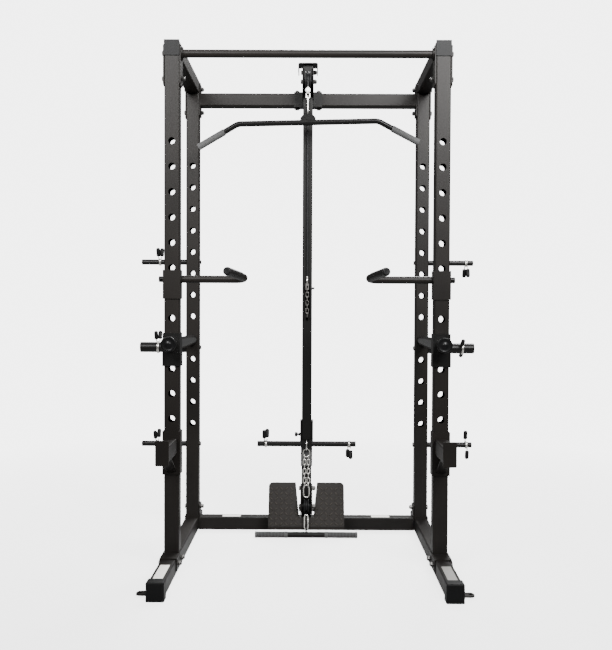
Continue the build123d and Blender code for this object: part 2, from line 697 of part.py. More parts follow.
strand_end_z = ball_z + ball_r + fit_gap
with BuildPart() as pull_strand:
    round_rod(upward(0, pull_y, strand_end_z), cable_r, pulley_z - strand_end_z)
save(pull_strand, "pull_strand")

swivel_r = 3.0
with BuildPart() as cable_stop:
    with Locations((0, pull_y, ball_z)):
        Sphere(ball_r)
    bores([upward(0, pull_y, ball_z - ball_r - 1)], swivel_r + 0.08, ball_r - 2)
save(cable_stop, "cable_stop")

with BuildPart() as lat_links:
    with Locations((0, pull_y, eye_z)):
        add(chain_link(*eye))
    round_rod(upward(0, pull_y, ball_z - ball_r - 2), swivel_r, ball_r - 3)
    with Locations(turned(0, pull_y, lat_ring_z, True)):
        add(chain_link(*lat_ring))
save(lat_links, "lat_links")

# ======================================================================= lat bar
lat_bar_r = 12.5
lat_bar_wall = 2.0
lat_half_straight = 313.0
lat_end_run = 176.0
lat_end_drop = 98.0
lat_hanger_drop = 42.0
lat_tilt = 1.4
lat_bend_r = 55.0
hanger_hole_r = 6.5
hanger_thick = 6.0
hanger_half = 34.0
lat_grip_r = 15.0
lat_grip_length = 130.0
hanger_z = ring_seat_z + 1.0 - hanger_hole_r
lean = radians(lat_tilt)
lat_plane = Plane(origin=(0, pull_y, hanger_z), x_dir=(cos(lean), 0, sin(lean)), z_dir=(0, -1, 0))
bar_drop = -lat_hanger_drop
lat_corners = [(-lat_half_straight - lat_end_run, bar_drop - lat_end_drop), (-lat_half_straight, bar_drop),
               (lat_half_straight, bar_drop), (lat_half_straight + lat_end_run, bar_drop - lat_end_drop)]
with BuildLine(lat_plane) as lat_line:
    FilletPolyline(*lat_corners, radius=lat_bend_r)
lat_path = lat_line.wires()[0]
lat_ends = [Plane(origin=lat_path @ 0, z_dir=lat_path % 0),
            Plane(origin=lat_path @ 1, z_dir=-(lat_path % 1))]

with BuildPart() as lat_bar:
    with BuildSketch(lat_ends[0]):
        Circle(lat_bar_r)
        Circle(lat_bar_r - lat_bar_wall, mode=Mode.SUBTRACT)
    sweep(path=lat_path)
    with BuildSketch(lat_plane.offset(-hanger_thick / 2)):
        with BuildLine():
            foot = bar_drop + lat_bar_r - 1
            Polyline((-hanger_half, foot), (hanger_half, foot), (hanger_half, foot + 10), (11, 5), (8, 12),
                     (-8, 12), (-11, 5), (-hanger_half, foot + 10), close=True)
        make_face()
        Circle(hanger_hole_r, mode=Mode.SUBTRACT)
    extrude(amount=hanger_thick)
save(lat_bar, "lat_bar")

with BuildPart() as lat_bar_grips:
    for end in lat_ends:
        with BuildSketch(end):
            Circle(lat_grip_r)
            Circle(lat_bar_r + 0.05, mode=Mode.SUBTRACT)
        extrude(amount=lat_grip_length)
        with BuildSketch(end):
            Circle(lat_grip_r)
        extrude(amount=-4)
save(lat_bar_grips, "lat_bar_grips")

# ======================================================================= low row
row_y = low_pulley_y - 23.0
row_bar_r = 13.0
row_grip_r = 14.0
row_half = 233.5
row_grip_length = 150.0
row_eye_z = 45.0
low_ring = (3.5, 44.0, 8.0)
low_ring_z = row_eye_z - 1.5 + low_ring[1] / 2 + low_ring[2]
low_top_z = low_ring_z + low_ring[1] / 2 + low_ring[2]
end_ring_r = 7.0
end_ring_wire = 2.0
end_ring_z = low_top_z + end_ring_r - end_ring_wire - low_ring[0] - fit_gap
low_eye_z = low_pulley_z + 32.0

with BuildPart() as low_cable:
    under_z = low_pulley_z - low_pitch_r
    with BuildLine(Plane(origin=(0, 0, 0), x_dir=(0, 1, 0), z_dir=(1, 0, 0))) as low_route:
        Line((lift_y, low_eye_z - end_ring_r), (lift_y, low_pulley_z))
        CenterArc((low_pulley_y, low_pulley_z), low_pitch_r, 0, -90)
        Line((low_pulley_y, under_z), (row_y + end_ring_r - 2, under_z))
    with BuildSketch(Plane(origin=(0, lift_y, low_eye_z - end_ring_r), z_dir=(0, 0, -1))):
        Circle(cable_r)
    sweep(path=low_route.wires()[0])
    end_rings = (Location((0, row_y, end_ring_z), (0, 90, 0)), Location((0, lift_y, low_eye_z), (90, 0, 0)))
    with Locations(*end_rings):
        Torus(end_ring_r, end_ring_wire)
save(low_cable, "low_cable")

with BuildPart() as low_link:
    with Locations((0, row_y, low_ring_z)):
        add(chain_link(*low_ring))
save(low_link, "low_link")

with BuildPart() as row_bar:
    round_rod(facing_x(-row_half + 4, row_y, row_grip_r), row_bar_r, 2 * row_half - 8)
    with BuildSketch(facing_x(-3, row_y, 0)):
        with Locations((0, row_eye_z)):
            Circle(11.5)
        with Locations((0, row_eye_z / 2 + row_grip_r / 2)):
            Rectangle(18, row_eye_z - row_grip_r)
        with Locations((0, row_eye_z)):
            Circle(6.5, mode=Mode.SUBTRACT)
    extrude(amount=6)
save(row_bar, "row_bar")

with BuildPart() as row_bar_grips:
    for _, sign in sides:
        with BuildSketch(sideways(sign, row_half, row_y, row_grip_r)):
            Circle(row_grip_r)
        extrude(amount=row_grip_length)
        bores([sideways(sign, row_half - 4, row_y, row_grip_r)], row_bar_r + 0.05, row_grip_length)
save(row_bar_grips, "row_bar_grips")

# ======================================================================= bar catches and safeties
catch_z = first_hole_z + 4 * hole_pitch
catch_above = 41.0
catch_below = 90.0
catch_wall = 4.0
catch_block = 54.0
catch_depth = 58.0
rod_r = 12.5
disc_r = 30.0
disc_thick = 8.0
roller_r = 24.0
roller_length = 66.0
safety_tube_r = 24.15
safety_tube_wall = 3.0
front_face_y = front_y - tube / 2
guard_y = front_face_y - fit_gap - catch_wall
sag = safety_tube_r - safety_tube_wall - rod_r - fit_gap


def cheek_guard(sign, low, high, thickness, depth):
    """A channel folded round the front and sides of an upright."""
    half = tube / 2 + fit_gap
    face = (front_face_y - fit_gap - thickness, front_face_y - fit_gap)
    slab((sign * upright_x - half - thickness, sign * upright_x + half + thickness), face, (low, high))
    for inner in (-1, 1):
        x = sorted((sign * upright_x + inner * half, sign * upright_x + inner * (half + thickness)))
        slab(x, (face[0], face[0] + depth), (low, high))


with BuildPart() as catch_guards:
    for _, sign in sides:
        cheek_guard(sign, catch_z - catch_below, catch_z + catch_above, catch_wall, catch_depth)
        block_low = catch_z - catch_below
        cheek_guard(sign, block_low, block_low + catch_block, catch_wall + 1.5, catch_depth)
        bores([facing_y(sign * upright_x, guard_y - 1, catch_z)], rod_r + 0.6, catch_wall + 2)
save(catch_guards, "catch_guards")

with BuildPart() as safety_tubes:
    span = cage_depth - tube - 1
    for _, sign in sides:
        round_rod(facing_y(sign * upright_x, front_y + tube / 2 + 0.5, catch_z - sag), safety_tube_r, span)
    bores([facing_y(sign * upright_x, front_y + tube / 2 + 0.5, catch_z - sag) for _, sign in sides],
          safety_tube_r - safety_tube_wall, span)
save(safety_tubes, "safety_tubes")

disc_y = guard_y - roller_length - 0.6
for side, sign in sides:
    with BuildPart() as safety_rod:
        round_rod(facing_y(sign * upright_x, disc_y, catch_z), rod_r, rear_y + tube / 2 + 15 - disc_y)
        chamfer(safety_rod.edges().group_by(Axis.Y)[-1], 2)
        round_rod(facing_y(sign * upright_x, disc_y - disc_thick, catch_z), disc_r, disc_thick)
        fillet(safety_rod.edges().group_by(Axis.Y)[0], 2)
    save(safety_rod, f"{side}_safety_rod")

    with BuildPart() as catch_roller:
        round_rod(facing_y(sign * upright_x, disc_y + 0.3, catch_z), roller_r, roller_length)
        bores([facing_y(sign * upright_x, disc_y, catch_z)], rod_r + 0.1, roller_length + 1)
    save(catch_roller, f"{side}_catch_roller")

# ======================================================================= dip handles
dip_r = 15.0
dip_wall = 3.0
dip_cheek = 4.0
dip_low_z = dip_hole_z - 78.0
dip_high_z = dip_hole_z + 36.0
dip_reach = inner_x - 231.0
dip_back = (inner_x - 303.0, front_y - 170.0, dip_hole_z + 27.0)
dip_bend_r = 35.0
dip_peg_z = first_hole_z + 6 * hole_pitch
pin_knob_r = 12.0
pin_knob = 20.0

for side, sign in sides:
    start_x = inner_x - fit_gap - dip_cheek
    with BuildLine() as dip_line:
        FilletPolyline((sign * start_x, front_y, dip_hole_z),
                       (sign * (inner_x - dip_reach), front_y, dip_hole_z),
                       (sign * (inner_x - dip_back[0]), dip_back[1], dip_back[2]), radius=dip_bend_r)
    dip_path = dip_line.wires()[0]
    with BuildPart() as dip_handle:
        with BuildSketch(Plane(origin=dip_path @ 0, z_dir=dip_path % 0)):
            Circle(dip_r)
            Circle(dip_r - dip_wall, mode=Mode.SUBTRACT)
        sweep(path=dip_path)
        cheek_guard(sign, dip_low_z, dip_high_z, dip_cheek, catch_depth)
        round_rod(facing_y(sign * upright_x, front_face_y - 1, dip_peg_z), rod_r, wall + 12)
        bores([sideways(sign, outer_x + 10, front_y, dip_hole_z)], dip_pin_r + 0.3, tube + 40)
    save(dip_handle, f"{side}_dip_handle")

    with BuildPart() as dip_pin:
        knob_x = outer_x + fit_gap + dip_cheek + 0.4
        round_rod(sideways(sign, knob_x + 1, front_y, dip_hole_z), dip_pin_r, tube + 26)
        round_rod(sideways(sign, knob_x + pin_knob, front_y, dip_hole_z), pin_knob_r, pin_knob)
        fillet(dip_pin.edges().group_by(Axis.X)[0 if sign < 0 else -1], 2)
    save(dip_pin, f"{side}_dip_pin")

# ======================================================================= spotter arms
arm_width = 50.0
arm_height = 60.0
arm_wall = 3.0
arm_reach = 208.0
arm_top_z = first_hole_z + 25.0
lip_thick = 6.0
lip_above = 21.0
lip_below = 13.0
spotter_above = 51.0
spotter_below = 121.0
spotter_cheek = 5.0
spotter_face_y = front_face_y - fit_gap - spotter_cheek

for side, sign in sides:
    with BuildPart() as spotter_arm:
        guard_low = first_hole_z - spotter_below
        cheek_guard(sign, guard_low, first_hole_z + spotter_above, spotter_cheek, catch_depth)
        round_rod(facing_y(sign * upright_x, front_face_y - 1, first_hole_z), rod_r, tube + 9)
        arm_mid_z = arm_top_z - arm_height / 2
        with BuildSketch(facing_y(sign * upright_x, spotter_face_y - arm_reach, arm_mid_z)):
            RectangleRounded(arm_width, arm_height, 5)
            RectangleRounded(arm_width - 2 * arm_wall, arm_height - 2 * arm_wall, 2.5, mode=Mode.SUBTRACT)
        extrude(amount=arm_reach + 1)
        lip_mid_z = arm_mid_z + (lip_above - lip_below) / 2
        with BuildSketch(facing_y(sign * upright_x, spotter_face_y - arm_reach - lip_thick, lip_mid_z)):
            RectangleRounded(arm_width + 1, arm_height + lip_above + lip_below, 5)
        extrude(amount=lip_thick)
        with BuildSketch(facing_x(sign * upright_x - 20, 0, 0)):
            with BuildLine():
                brace_foot = guard_low + 12
                Polyline((spotter_face_y + 1, brace_foot), (spotter_face_y + 1, brace_foot + 8),
                         (spotter_face_y - 120, arm_top_z - arm_height + 1),
                         (spotter_face_y - 129, arm_top_z - arm_height + 1), close=True)
            make_face()
        extrude(amount=40)
    save(spotter_arm, f"{side}_spotter_arm")

# ======================================================================= spring collars
collar_wire = 3.0
collar_half = 8.0
collar_gap = 0.35
grip_r = 8.5
grip_start = 12.0
grip_length = 32.0


def collar(x, y, z, rod_radius, leans):
    """A spring coil round a peg along X, with a handle at each angle from straight up."""
    ring_r = rod_radius + collar_gap
    for step, lean_deg in zip((-1, 1), leans):
        up = Vector(0, sin(radians(lean_deg)), cos(radians(lean_deg)))
        foot = Vector(x + step * (collar_half - 3), y, z) + up * (ring_r + 1.2)
        round_rod(Plane(origin=foot, z_dir=up), 2.0, grip_start + 4)
        round_rod(Plane(origin=foot + up * grip_start, z_dir=up), grip_r, grip_length)
    with BuildSketch(facing_x(x - collar_half, y, z)) as coil:
        Circle(ring_r + collar_wire)
        Circle(ring_r, mode=Mode.SUBTRACT)
    extrude(coil.sketch, amount=2 * collar_half)


low_z, high_z = peg_heights_thin
bar_collar_z = loading_bar_z
collars = {
    "upper_left_collar": (-outer_x - 125, rear_y, high_z, thin_peg_r, (-24, 20)),
    "upper_right_collar": (outer_x + 178, rear_y, high_z, thin_peg_r, (160, 200)),
    "middle_left_collar": (-outer_x - 134, rear_y, peg_height_thick, thick_peg_r, (-22, 22)),
    "middle_right_collar": (outer_x + 162, rear_y, peg_height_thick, thick_peg_r, (-60, 120)),
    "lower_left_collar": (-outer_x - 138, rear_y, low_z, thin_peg_r, (-26, 18)),
    "lower_right_collar": (outer_x + 185, rear_y, low_z, thin_peg_r, (-12, 170)),
    "bar_left_collar": (-187, loading_bar_y, bar_collar_z, loading_bar_r, (-22, 24)),
    "bar_right_collar": (195, loading_bar_y, bar_collar_z, loading_bar_r, (158, 202)),
}
for label, (x, y, z, rod_radius, leans) in collars.items():
    with BuildPart() as spring_collar:
        collar(x, y, z, rod_radius, leans)
    save(spring_collar, label)
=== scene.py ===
"""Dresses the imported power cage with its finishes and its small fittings.

Metres, +X right, +Y to the back, +Z up, with the origin on the floor in the middle.
"""

import json
from math import cos, pi, radians, sin

import bmesh
import bpy
from bpy.props import FloatProperty, FloatVectorProperty, IntProperty, PointerProperty
from mathutils import Euler, Matrix, Vector


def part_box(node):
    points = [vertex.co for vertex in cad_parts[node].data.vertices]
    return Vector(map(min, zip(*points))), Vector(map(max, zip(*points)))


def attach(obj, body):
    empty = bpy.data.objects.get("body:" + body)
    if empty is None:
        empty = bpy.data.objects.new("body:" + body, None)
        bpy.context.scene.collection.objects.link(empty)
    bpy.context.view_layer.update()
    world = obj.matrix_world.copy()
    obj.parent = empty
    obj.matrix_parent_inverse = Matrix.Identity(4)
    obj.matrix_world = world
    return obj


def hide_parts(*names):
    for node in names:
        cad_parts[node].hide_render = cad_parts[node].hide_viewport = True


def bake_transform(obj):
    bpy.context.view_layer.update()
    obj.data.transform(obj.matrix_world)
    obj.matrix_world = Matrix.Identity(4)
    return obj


bl_info = {
    "name": "Power Cage",
    "version": (1, 0, 0),
    "blender": (4, 5, 0),
    "location": "3D View > Sidebar > Cage",
    "description": "Finishes and small fittings for a four-post power cage",
    "category": "Add Mesh",
}

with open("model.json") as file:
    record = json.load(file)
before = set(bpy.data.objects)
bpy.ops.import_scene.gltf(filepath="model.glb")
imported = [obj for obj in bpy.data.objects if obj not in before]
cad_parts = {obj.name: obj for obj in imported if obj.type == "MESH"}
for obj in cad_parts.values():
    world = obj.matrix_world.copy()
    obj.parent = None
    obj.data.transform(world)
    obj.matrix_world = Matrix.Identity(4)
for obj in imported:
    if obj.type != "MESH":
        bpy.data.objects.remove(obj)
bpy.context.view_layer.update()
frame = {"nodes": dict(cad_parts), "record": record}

UPRIGHT_X = 0.535
SIDES = (("left", -1), ("right", 1))
# The floor starts to thin out at the first distance from the middle, and ends at the second.
FLOOR_FADE = (1.2, 3.4)
FLOOR_COVER = 0.4


# ---------------------------------------------------------------- node helpers
class Signal:
    """A value in a shader tree that takes part in plain arithmetic."""

    def __init__(self, graph, socket):
        self.graph = graph
        self.socket = socket

    def _math(self, operation, *values):
        return self.graph.add("ShaderNodeMath", {"operation": operation}, dict(enumerate(values)))

    def __add__(self, other):
        return self._math("ADD", self, other)

    __radd__ = __add__

    def __sub__(self, other):
        return self._math("SUBTRACT", self, other)

    def __rsub__(self, other):
        return self._math("SUBTRACT", other, self)

    def __mul__(self, other):
        return self._math("MULTIPLY", self, other)

    __rmul__ = __mul__

    def __truediv__(self, other):
        return self._math("DIVIDE", self, other)

    def __pow__(self, power):
        return self._math("POWER", self, power)

    def clamped(self, low=0.0, high=1.0):
        return self._math("MINIMUM", self._math("MAXIMUM", self, low), high)


class Graph:
    """A node tree with one way to add a node: its type, its settings, then its sockets."""

    def __init__(self, tree):
        self.tree = tree

    def add(self, kind, settings=None, values=None, output=0):
        node = self.tree.nodes.new(kind)
        for key, value in (settings or {}).items():
            if key == "stops":
                self._ramp(node.color_ramp, value)
            else:
                setattr(node, key, value)
        for key, value in (values or {}).items():
            self.feed(node.inputs[key], value)
        if not node.outputs:
            return node
        return Signal(self, node.outputs[output])

    def feed(self, socket, value):
        if isinstance(value, Signal):
            self.tree.links.new(value.socket, socket)
        else:
            socket.default_value = value

    @staticmethod
    def _ramp(ramp, stops):
        while len(ramp.elements) < len(stops):
            ramp.elements.new(1.0)
        for element, (place, colour) in zip(ramp.elements, stops):
            element.position = place
            element.color = colour

    def surface(self):
        return self.add("ShaderNodeTexCoord", output="Object")

    def noise(self, where, scale, detail=2.0, roughness=0.5):
        return self.add("ShaderNodeTexNoise", {"noise_dimensions": "3D"},
                        {"Vector": where, "Scale": scale, "Detail": detail, "Roughness": roughness})

    def parts(self, where):
        node = self.tree.nodes.new("ShaderNodeSeparateXYZ")
        self.feed(node.inputs[0], where)
        return [Signal(self, socket) for socket in node.outputs]

    def mix(self, factor, first, second):
        """First colour where the factor is 0, second where it is 1."""
        node = self.tree.nodes.new("ShaderNodeMix")
        node.data_type = "RGBA"
        for key, value in ((0, factor), (6, first), (7, second)):
            self.feed(node.inputs[key], value)
        return Signal(self, node.outputs[2])

    def bump(self, height, strength, distance):
        return self.add("ShaderNodeBump", None,
                        {"Height": height, "Strength": strength, "Distance": distance})

    def stretched(self, where, scale):
        return self.add("ShaderNodeMapping", None, {"Vector": where, "Scale": scale})


def rgba(colour):
    return (*colour[:3], 1.0)


def scaled(colour, amount):
    return (*(channel * amount for channel in colour[:3]), 1.0)


def new_material(name):
    material = bpy.data.materials.new(name)
    material.use_nodes = True
    graph = Graph(material.node_tree)
    shader = material.node_tree.nodes["Principled BSDF"]
    return material, graph, shader


def feed_shader(graph, shader, **values):
    for key, value in values.items():
        graph.feed(shader.inputs[key.replace("_", " ")], value)


# ---------------------------------------------------------------- finishes
def powder_coat(name, colour, roughness, peel=0.08, sheen_colour=None):
    """Sprayed satin powder coat: fine orange peel, cloudy gloss, and dust low down."""
    material, graph, shader = new_material(name)
    where = graph.surface()
    cloud = graph.noise(where, 3.2, 4.0)
    fleck = graph.noise(where, 900.0, 1.0)
    skin = graph.noise(where, 520.0, 2.0, 0.6)
    _, _, height = graph.parts(where)
    dust = ((0.5 - height) * 1.6).clamped() * graph.noise(where, 38.0, 5.0, 0.7)
    base = graph.mix((cloud * 1.5 - 0.25).clamped(), scaled(colour, 0.78),
                     scaled(sheen_colour or colour, 1.24))
    base = graph.mix(((fleck - 0.62) * 5.0).clamped() * 0.15, base, scaled(colour, 1.8))
    base = graph.mix(dust * 0.16, base, (0.03, 0.028, 0.026, 1.0))
    gloss = roughness + (cloud - 0.5) * 0.14 + dust * 0.16
    feed_shader(graph, shader, Base_Color=base, Roughness=gloss.clamped(0.12, 0.95),
                Normal=graph.bump(skin, peel, 0.0003))
    shader.inputs["Specular IOR Level"].default_value = 0.1
    return material


def bright_chrome(name, tint):
    """Plated steel with hair-fine polishing lines, a little haze and finger marks."""
    material, graph, shader = new_material(name)
    where = graph.surface()
    lines = graph.noise(graph.stretched(where, (900.0, 60.0, 900.0)), 1.0, 3.0)
    smears = graph.noise(where, 24.0, 4.0, 0.65)
    haze = ((smears - 0.52) * 3.0).clamped()
    base = graph.mix(haze * 0.4, rgba(tint), scaled(tint, 0.72))
    feed_shader(graph, shader, Base_Color=base, Metallic=1.0,
                Roughness=(0.09 + haze * 0.12 + lines * 0.05).clamped(0.05, 0.5),
                Normal=graph.bump(lines, 0.035, 0.0003))
    return material


def plated_steel(name, tint, roughness):
    """Zinc-plated or blackened wire and fasteners, blotchy with a few darker spots."""
    material, graph, shader = new_material(name)
    where = graph.surface()
    blotch = graph.noise(where, 130.0, 4.0, 0.6)
    grain = graph.noise(where, 1500.0, 2.0)
    spots = ((graph.noise(where, 420.0, 3.0) - 0.63) * 8.0).clamped()
    base = graph.mix(blotch, scaled(tint, 0.72), scaled(tint, 1.2))
    base = graph.mix(spots * 0.5, base, scaled(tint, 0.35))
    feed_shader(graph, shader, Base_Color=base, Metallic=0.95,
                Roughness=(roughness + (blotch - 0.5) * 0.22 + spots * 0.2).clamped(0.1, 0.9),
                Normal=graph.bump(grain, 0.1, 0.0002))
    return material


def moulded(name, colour, roughness, grain_scale=700.0, grain=0.3, coat=0.0):
    """Moulded plastic or rubber: a fine spark-eroded grain, flow marks and rubbed patches."""
    material, graph, shader = new_material(name)
    where = graph.surface()
    pits = graph.add("ShaderNodeTexVoronoi", None, {"Vector": where, "Scale": grain_scale})
    flow = graph.noise(where, 16.0, 4.0, 0.6)
    rubbed = ((flow - 0.56) * 4.0).clamped()
    base = graph.mix(flow, scaled(colour, 0.82), scaled(colour, 1.25))
    gloss = (roughness - rubbed * 0.12 + flow * 0.08).clamped(0.08, 1.0)
    feed_shader(graph, shader, Base_Color=base, Roughness=gloss, Normal=graph.bump(pits, grain, 0.0004))
    shader.inputs["Specular IOR Level"].default_value = 0.1
    shader.inputs["Coat Weight"].default_value = coat
    shader.inputs["Coat Roughness"].default_value = 0.25
    return material


def knurled(name, colour, pitch, roughness):
    """Diamond knurling pressed into a grip, from two crossing sets of ridges."""
    material, graph, shader = new_material(name)
    where = graph.surface()
    ridges = []
    for slope in (1.0, -1.0):
        x, y, z = graph.parts(where)
        along = (x + z * slope + y * 0.7) * (2 * pi / pitch)
        ridges.append(graph.add("ShaderNodeMath", {"operation": "SINE"}, {0: along}))
    diamonds = (ridges[0] * ridges[1] * 0.5 + 0.5).clamped()
    worn = graph.noise(where, 45.0, 4.0)
    base = graph.mix(diamonds * worn, scaled(colour, 0.7), scaled(colour, 2.0))
    feed_shader(graph, shader, Base_Color=base, Roughness=(roughness - diamonds * 0.12).clamped(),
                Normal=graph.bump(diamonds, 0.4, 0.0006))
    shader.inputs["Specular IOR Level"].default_value = 0.15
    return material


def jacketed(name, colour):
    """Smooth extruded cable jacket with the lay of the strands showing faintly."""
    material, graph, shader = new_material(name)
    where = graph.surface()
    x, y, z = graph.parts(where)
    lay = graph.add("ShaderNodeMath", {"operation": "SINE"}, {0: z * 900.0 + (x + y) * 1400.0})
    scuffs = graph.noise(graph.stretched(where, (600.0, 600.0, 25.0)), 1.0, 3.0)
    base = graph.mix(((scuffs - 0.55) * 3.0).clamped() * 0.4, rgba(colour), scaled(colour, 3.0))
    feed_shader(graph, shader, Base_Color=base, Roughness=(0.3 + scuffs * 0.2).clamped(),
                Normal=graph.bump(lay, 0.08, 0.0003))
    shader.inputs["Specular IOR Level"].default_value = 0.15
    return material


def blank_label(name, colour, aged=(0.66, 0.63, 0.57)):
    """A plain sticker with nothing on it, slightly yellowed, with a faint fibre grain."""
    material, graph, shader = new_material(name)
    where = graph.surface()
    age = graph.noise(where, 30.0, 4.0)
    fibres = graph.noise(where, 700.0, 3.0)
    base = graph.mix(age, rgba(colour), rgba(scaled(aged, colour[0] / 0.8)))
    feed_shader(graph, shader, Base_Color=base, Roughness=(0.38 + age * 0.15).clamped(),
                Normal=graph.bump(fibres, 0.06, 0.0002))
    return material


def soft_floor(name, colour):
    """Pale matt floor, thinnest far from the cage, where it melts into the backdrop."""
    material, graph, shader = new_material(name)
    where = graph.surface()
    tone = graph.noise(where, 0.8, 2.0)
    base = graph.mix(tone, scaled(colour, 0.985), rgba(colour))
    x, y, _ = graph.parts(where)
    distance = (x * x + y * y) ** 0.5
    cover = ((FLOOR_FADE[1] - distance) / (FLOOR_FADE[1] - FLOOR_FADE[0])).clamped()
    feed_shader(graph, shader, Base_Color=base, Roughness=0.85, Alpha=cover * FLOOR_COVER)
    shader.inputs["Specular IOR Level"].default_value = 0.1
    return material


def finish(key):
    """The material for one finish, made the first time it is asked for."""
    found = bpy.data.materials.get(key)
    if found:
        return found
    look = bpy.context.scene.cage_looks
    makers = {
        "frame_coat": lambda: powder_coat(key, look.coat_colour, look.coat_roughness,
                                          sheen_colour=look.coat_warmth),
        "mast_coat": lambda: powder_coat(key, look.mast_colour, 0.36, 0.1),
        "part_coat": lambda: powder_coat(key, look.part_colour, 0.34, 0.1),
        "bar_coat": lambda: powder_coat(key, look.part_colour, 0.3, 0.06),
        "plate_coat": lambda: powder_coat(key, look.plate_colour, 0.5, 0.2),
        # The tread bars get a copy of the plate coat made 2.6 times lighter: a painted highlight for the
        # light caught by the raised bars.
        "lit_tread_coat": lambda: powder_coat(key, scaled(look.plate_colour, 2.6), 0.42, 0.2),
        "chrome": lambda: bright_chrome(key, look.chrome_colour),
        "black_bolts": lambda: plated_steel(key, (0.07, 0.068, 0.066), 0.36),
        "zinc_wire": lambda: plated_steel(key, (0.62, 0.61, 0.58), 0.26),
        "dark_chrome": lambda: plated_steel(key, (0.03, 0.03, 0.031), 0.16),
        "dark_chain": lambda: plated_steel(key, (0.11, 0.105, 0.1), 0.42),
        "cap_plastic": lambda: moulded(key, (0.0035, 0.0035, 0.0036), 0.46, 620.0, 0.15),
        "gloss_cap": lambda: moulded(key, (0.0028, 0.0028, 0.0029), 0.26, 900.0, 0.05, 0.05),
        "wheel_plastic": lambda: moulded(key, (0.0045, 0.0045, 0.0047), 0.38, 900.0, 0.12),
        "liner": lambda: moulded(key, (0.03, 0.03, 0.03), 0.5, 900.0, 0.1),
        "rubber": lambda: moulded(key, look.rubber_colour, 0.72, 1100.0, 0.35),
        "collar_rubber": lambda: moulded(key, look.rubber_colour, 0.55, 1300.0, 0.2),
        "ball": lambda: moulded(key, look.ball_colour, 0.3, 900.0, 0.04, 0.3),
        "jacket": lambda: jacketed(key, (0.005, 0.005, 0.0053)),
        "knurl": lambda: knurled(key, (0.0065, 0.0062, 0.006), look.knurl_pitch, 0.46),
        "weld": lambda: powder_coat(key, look.coat_colour, 0.42, 0.5),
        "label": lambda: blank_label(key, look.label_colour),
        "grey_label": lambda: blank_label(key, scaled(look.label_colour, 0.28)),
        "floor": lambda: soft_floor(key, look.floor_colour),
    }
    return makers[key]()


# ---------------------------------------------------------------- mesh helpers
def shown(name, mesh, body, slot, *replaced):
    """Puts a finished mesh in the scene, on its body, for the nodes it stands for."""
    piece = bpy.data.objects.new(name, mesh)
    bpy.context.scene.collection.objects.link(piece)
    if body:
        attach(piece, body)
    if replaced:
        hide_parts(*replaced)
    return piece


def joined(name, meshes):
    """One mesh from several, keeping each one's material."""
    whole = bpy.data.meshes.new(name)
    build = bmesh.new()
    for mesh in meshes:
        offset = len(whole.materials)
        for material in mesh.materials:
            whole.materials.append(material)
        known = len(build.faces)
        build.from_mesh(mesh)
        build.faces.ensure_lookup_table()
        for face in build.faces[known:]:
            face.material_index += offset
        bpy.data.meshes.remove(mesh)
    build.to_mesh(whole)
    build.free()
    return whole


def turned(name, profile, start, direction, material, sides=28):
    """A closed lathe form: profile gives (distance, radius) along the direction."""
    mesh = bpy.data.meshes.new(name)
    build = bmesh.new()
    axis = Vector(direction).normalized()
    turn = axis.to_track_quat("Z", "Y").to_matrix()
    rings = []
    for distance, radius in profile:
        ring = []
        for k in range(sides):
            angle = 2 * pi * k / sides
            flat = turn @ Vector((radius * cos(angle), radius * sin(angle), distance))
            ring.append(build.verts.new(Vector(start) + flat))
        rings.append(ring)
    for low, high in zip(rings, rings[1:]):
        for k in range(sides):
            build.faces.new((low[k - 1], low[k], high[k], high[k - 1]))
    build.faces.new(reversed(rings[0]))
    build.faces.new(rings[-1])
    bmesh.ops.recalc_face_normals(build, faces=build.faces)
    for face in build.faces:
        face.smooth = len(face.verts) == 4
    build.to_mesh(mesh)
    build.free()
    mesh.materials.append(material)
    return mesh


def rounded_strip(name, centre, width, length, thickness, corner, material):
    """A flat rounded rectangle lying on XY, raised straight up to its thickness."""
    mesh = bpy.data.meshes.new(name)
    build = bmesh.new()
    outline = []
    for quarter, (sx, sy) in enumerate(((1, 1), (-1, 1), (-1, -1), (1, -1))):
        for step in range(6):
            angle = radians(90 * quarter + 18 * step)
            outline.append((sx * (width / 2 - corner) + corner * cos(angle),
                            sy * (length / 2 - corner) + corner * sin(angle)))
    face = build.faces.new([build.verts.new(Vector(centre) + Vector((x, y, 0))) for x, y in outline])
    raised = bmesh.ops.extrude_face_region(build, geom=[face])
    for vert in (item for item in raised["geom"] if isinstance(item, bmesh.types.BMVert)):
        vert.co.z += thickness
    bmesh.ops.recalc_face_normals(build, faces=build.faces)
    build.to_mesh(mesh)
    build.free()
    mesh.materials.append(material)
    return mesh


def geometry_tree(name, inputs):
    """An empty Geometry Nodes tree with named inputs, and the sockets of its input node."""
    tree = bpy.data.node_groups.new(name, "GeometryNodeTree")
    tree.interface.new_socket("Geometry", in_out="INPUT", socket_type="NodeSocketGeometry")
    for label, kind, default in inputs:
        socket = tree.interface.new_socket(label, in_out="INPUT", socket_type=kind)
        if default is not None:
            socket.default_value = default
    tree.interface.new_socket("Geometry", in_out="OUTPUT", socket_type="NodeSocketGeometry")
    graph = Graph(tree)
    start = tree.nodes.new("NodeGroupInput")
    given = {socket.name: Signal(graph, socket) for socket in start.outputs if socket.name}
    return tree, graph, given


def close_tree(graph, shape, given):
    """Every tree ends the same way: real geometry, then its material."""
    real = graph.add("GeometryNodeRealizeInstances", None, {"Geometry": shape})
    painted = graph.add("GeometryNodeSetMaterial", None, {"Geometry": real, "Material": given["Finish"]})
    graph.add("NodeGroupOutput", None, {0: painted})


